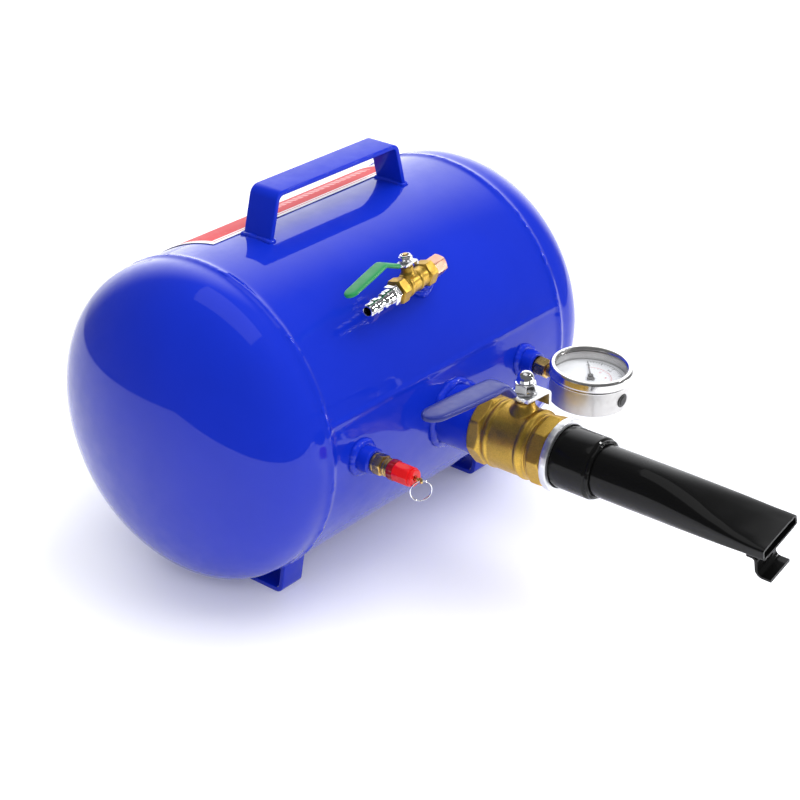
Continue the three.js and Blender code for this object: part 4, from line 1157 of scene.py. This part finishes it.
fill_neck = ring(
    [(2.2, 7.0), (7.0, 7.0), (5.6, 8.6), (4.7, 10.2), (4.7, 13.8), (2.2, 13.8)], 0.3, 48)
fill_bore = lathe(
    [(0, 5), (3.2, 5), (3.2, 8.3), (2.3, 8.3), (2.3, 9.2), (3.7, 9.2), (3.7, 15), (0, 15)], 40)
VALVE_ROLL = radians(35)
cast(
    "fill_valve_casting",
    [nut(6, 17.5, -24.4, -15.4, 6.7, VALVE_ROLL, (1.0, 1.0)), fill_drum, (fill_neck, UPRIGHT)],
    FILL_VALVE, ["fill_valve_body"], 0.25, 3, [joined((fill_bore, UPRIGHT))],
)
cast(
    "fill_valve_end",
    [nut(6, 17.5, 9.2, 17.6, 6.7, VALVE_ROLL, (1.0, 1.0)),
     ring([(4, 8.5), (7.7, 8.5), (7.7, 10.4), (4, 10.4)], 0.2),
     ring([(6.25, 5.6), (6.95, 5.6), (6.95, 9), (6.25, 9)], 0.1)],
    FILL_VALVE, ["fill_valve_end_cap"], 0.22, 2,
)
piece(
    "fill_gland", nut(6, 7.6, 14.1, 15.1, 2.3, 0, (0.3, 0.3)), FILL_VALVE @ UPRIGHT, BRASS,
    ["fill_gland_nut"],
)
lock_nut = joined(
    ring([(2.3, 17.9), (5.2, 17.9), (5.2, 18.7), (2.3, 18.7)], 0.25, 64),
    nut(6, 9.2, 18.5, 21.8, 2.3, radians(10), (0.2, 0.9)),
    ring([(2.3, 20.4), (4.2, 20.4), (4.2, 23, 0.5), (3.0, 23, 0.5), (3.0, 22.2), (2.3, 22.2)],
         0.2, 64),
)
piece(
    "fill_lock_nut", lock_nut, FILL_VALVE @ UPRIGHT, CHROME, ["fill_lever_nut"],
    "fill_lever_set", slot="zinc_plate",
)
fill_plate = bar([(7.3, 13.2), (7.3, 16.7), (-7, 16.7)], 1.8, 10, 1.8, 0.25)
fill_arm = bar([(0, 16.7), (-6, 16.7), (-9.5, 17.7), (-27.5, 26.3), (-62, 21)], 1.7, 7, 4, 0.3)
piece(
    "fill_lever_plate", joined(fill_plate, fill_arm), FILL_LEVER, ZINC,
    ["fill_lever"], "fill_lever_set",
)


fill_grip = dipped(1.9, (0, 6, 18, 34), (4.0, 4.5, 5.7, 5.9, 5.5, 5.2), 7, 6, 0.5, 2)
piece(
    "fill_lever_dip", grip([(-11, 18.4), (-27.5, 26.3), (-70.5, 19.7)], 5, fill_grip, 90),
    FILL_LEVER, GREEN_VINYL, ["fill_lever_grip"], "fill_lever_set", sharp=70,
)
FACE = 17.9  # the valve's outer face, where the quick plug's hexagon bears
nose = ring(
    [(3.4, 10.3), (6.4, 10.3), (6.4, FACE + 11.3, 0.5), (5.9, FACE + 12.5), (5.9, FACE + 15.5),
     (4.6, FACE + 17), (4.6, FACE + 20.7), (5.9, FACE + 22.1), (5.9, FACE + 25.7, 0.8),
     (5.1, FACE + 26.9), (5.1, FACE + 31.9, 0.6), (4.4, FACE + 33.7, 0.5), (3.4, FACE + 33.7)],
    0.35, 80)
coupling = joined(nose, nut(6, 14, FACE, FACE + 6.7, 3.4, VALVE_ROLL, (0.9, 0.9)))
piece("fill_quick_plug", coupling, FILL_VALVE, CHROME, ["quick_plug"])

# ---- CAD nodes that stay

KEPT = (
    (SEAT, ("main_seat_inner", "main_seat_outer", "main_stem_packing")),
    (SEAT, ("fill_seat_inner", "fill_seat_outer", "fill_stem_packing")),
    (CHROME, ("main_ball", "fill_ball")),
    (BRASS, ("main_stem", "fill_stem", "bourdon_tube", "gauge_movement_frame", "gauge_sector")),
)
for finish, nodes in KEPT:
    for node in nodes:
        kept = frame["nodes"][node]
        kept.data.materials.clear()
        kept.data.materials.append(finish)

# ---- floor, light, camera

SMOOTH_SKIN = {"tank_shell", "tank_head_left", "tank_head_right", "label_film", "studio_floor"}

stage = Surface("studio_floor")
tones = (0.94, 0.94, 0.955, 1), (0.97, 0.97, 0.985, 1)
stage.look(
    Base_Color=stage.blend(stage.noise(3, 2), *tones),
    Roughness=0.55,
    Emission_Color=(0.93, 0.94, 1.0, 1),
    Emission_Strength=0.08,
)
ahead = Vector((0.768, 0.641, 0))
underfoot = TANK @ Vector((0, 0, -TANK_R - FLOOR_GAP))
bpy.ops.mesh.primitive_plane_add(size=1, location=underfoot + 0.95 * ahead)
floor = bpy.context.object
floor.name = "studio_floor"
floor.scale = (3.3, 2.2, 1)
floor.rotation_euler.z = atan2(ahead.y, ahead.x)
floor.data.materials.append(stage.material)

# The surroundings are white to the camera, a dim room with one bright wall to reflections,
# and a soft even light to everything else.
world = bpy.data.worlds.new("studio")
bpy.context.scene.world = world
world.use_nodes = True
sky = Nodes(world.node_tree)
rays = sky.add("ShaderNodeLightPath").outputs
heading = sky.add("ShaderNodeTexCoord").outputs["Generated"]


def facing(direction):
    """How far a ray heads in a direction."""
    node = sky.tree.nodes.new("ShaderNodeVectorMath")
    node.operation = "DOT_PRODUCT"
    return sky.put(node, {0: heading, 1: direction}).outputs["Value"]


room = sky.ramp(facing((-0.95, 0.2, 0.2)), 1.1, 0.45, 0.0, 0.9)
wall = sky.ramp(facing((0.74, 0.63, 0.22)), 0.15, 2.2, 0.55, 0.98, "SMOOTHSTEP")
glow = sky.mix(rays["Is Camera Ray"], sky.mix(rays["Is Glossy Ray"], room, wall), 1.2)
sky.put(sky.tree.nodes["Background"], {"Color": (0.97, 0.98, 1.0, 1), "Strength": glow})


def softbox(name, spot, target, size, power, mirrored):
    """A rectangular lamp; one that is not mirrored lights surfaces without a reflection."""
    lamp = bpy.data.lights.new(name, "AREA")
    lamp.shape = "RECTANGLE"
    lamp.size, lamp.size_y = size
    lamp.energy = power
    made = bpy.data.objects.new(name, lamp)
    link(made)
    made.location = spot
    made.rotation_mode = "QUATERNION"
    made.rotation_quaternion = (Vector(target) - Vector(spot)).to_track_quat("-Z", "Y")
    made.visible_glossy = mirrored
    return made


# The camera in the tank's frame, and the directions of its picture's right and top.
CAMERA_AT = Vector((-1039.45, -940.56, 684.62))
CAMERA_RIGHT = Vector((0.6410, -0.7675, 0))
CAMERA_UP = Vector((0.3530, 0.2948, 0.8880))
LENS = 88.45


def mirrored_spot(x, elevation, distance):
    """Where a lamp stands to be seen by the camera in the tank's skin at one place."""
    normal = Vector((0, -cos(elevation), sin(elevation)))
    spot = Vector((x, 0, 0)) + TANK_R * normal
    ray = (spot - CAMERA_AT).normalized()
    return TANK @ (spot + distance * (ray - 2 * ray.dot(normal) * normal))


centre = Vector((0, 0, 0.14))
softbox("key", (0.8, -0.7, 2.6), centre, (2.6, 2.0), 50, False)
softbox("fill", (-1.5, -1.7, 1.5), centre, (1.8, 1.2), 26, False)
softbox("overhead", (-0.2, 0.0, 2.4), centre, (2.0, 1.4), 7, True)

# Two small lamps give the welds and fittings their glints and leave the smooth skin alone.
glinting = bpy.data.collections.new("glinting")
for made in bpy.context.scene.objects:
    if made.type == "MESH" and made.name not in SMOOTH_SKIN:
        glinting.objects.link(made)
for k, (x, elevation, power) in enumerate(((-SEAM_X, 40, 7), (60, 20, 5))):
    spot = mirrored_spot(x, radians(elevation), 2000)
    lamp = softbox(f"glint{k}", spot, centre, (0.2, 0.2), power, True)
    lamp.light_linking.receiver_collection = glinting

bpy.context.scene.view_settings.view_transform = "Standard"

camera = bpy.data.cameras.new("camera")
camera.lens = LENS
camera.sensor_width = 36
camera.clip_start, camera.clip_end = 0.05, 50
eye_point = bpy.data.objects.new("camera", camera)
link(eye_point)
turned = Matrix((CAMERA_RIGHT, CAMERA_UP, CAMERA_RIGHT.cross(CAMERA_UP))).transposed()
eye_point.matrix_world = Matrix.Translation(TANK @ CAMERA_AT) @ turned.to_4x4()
bpy.context.scene.camera = eye_point
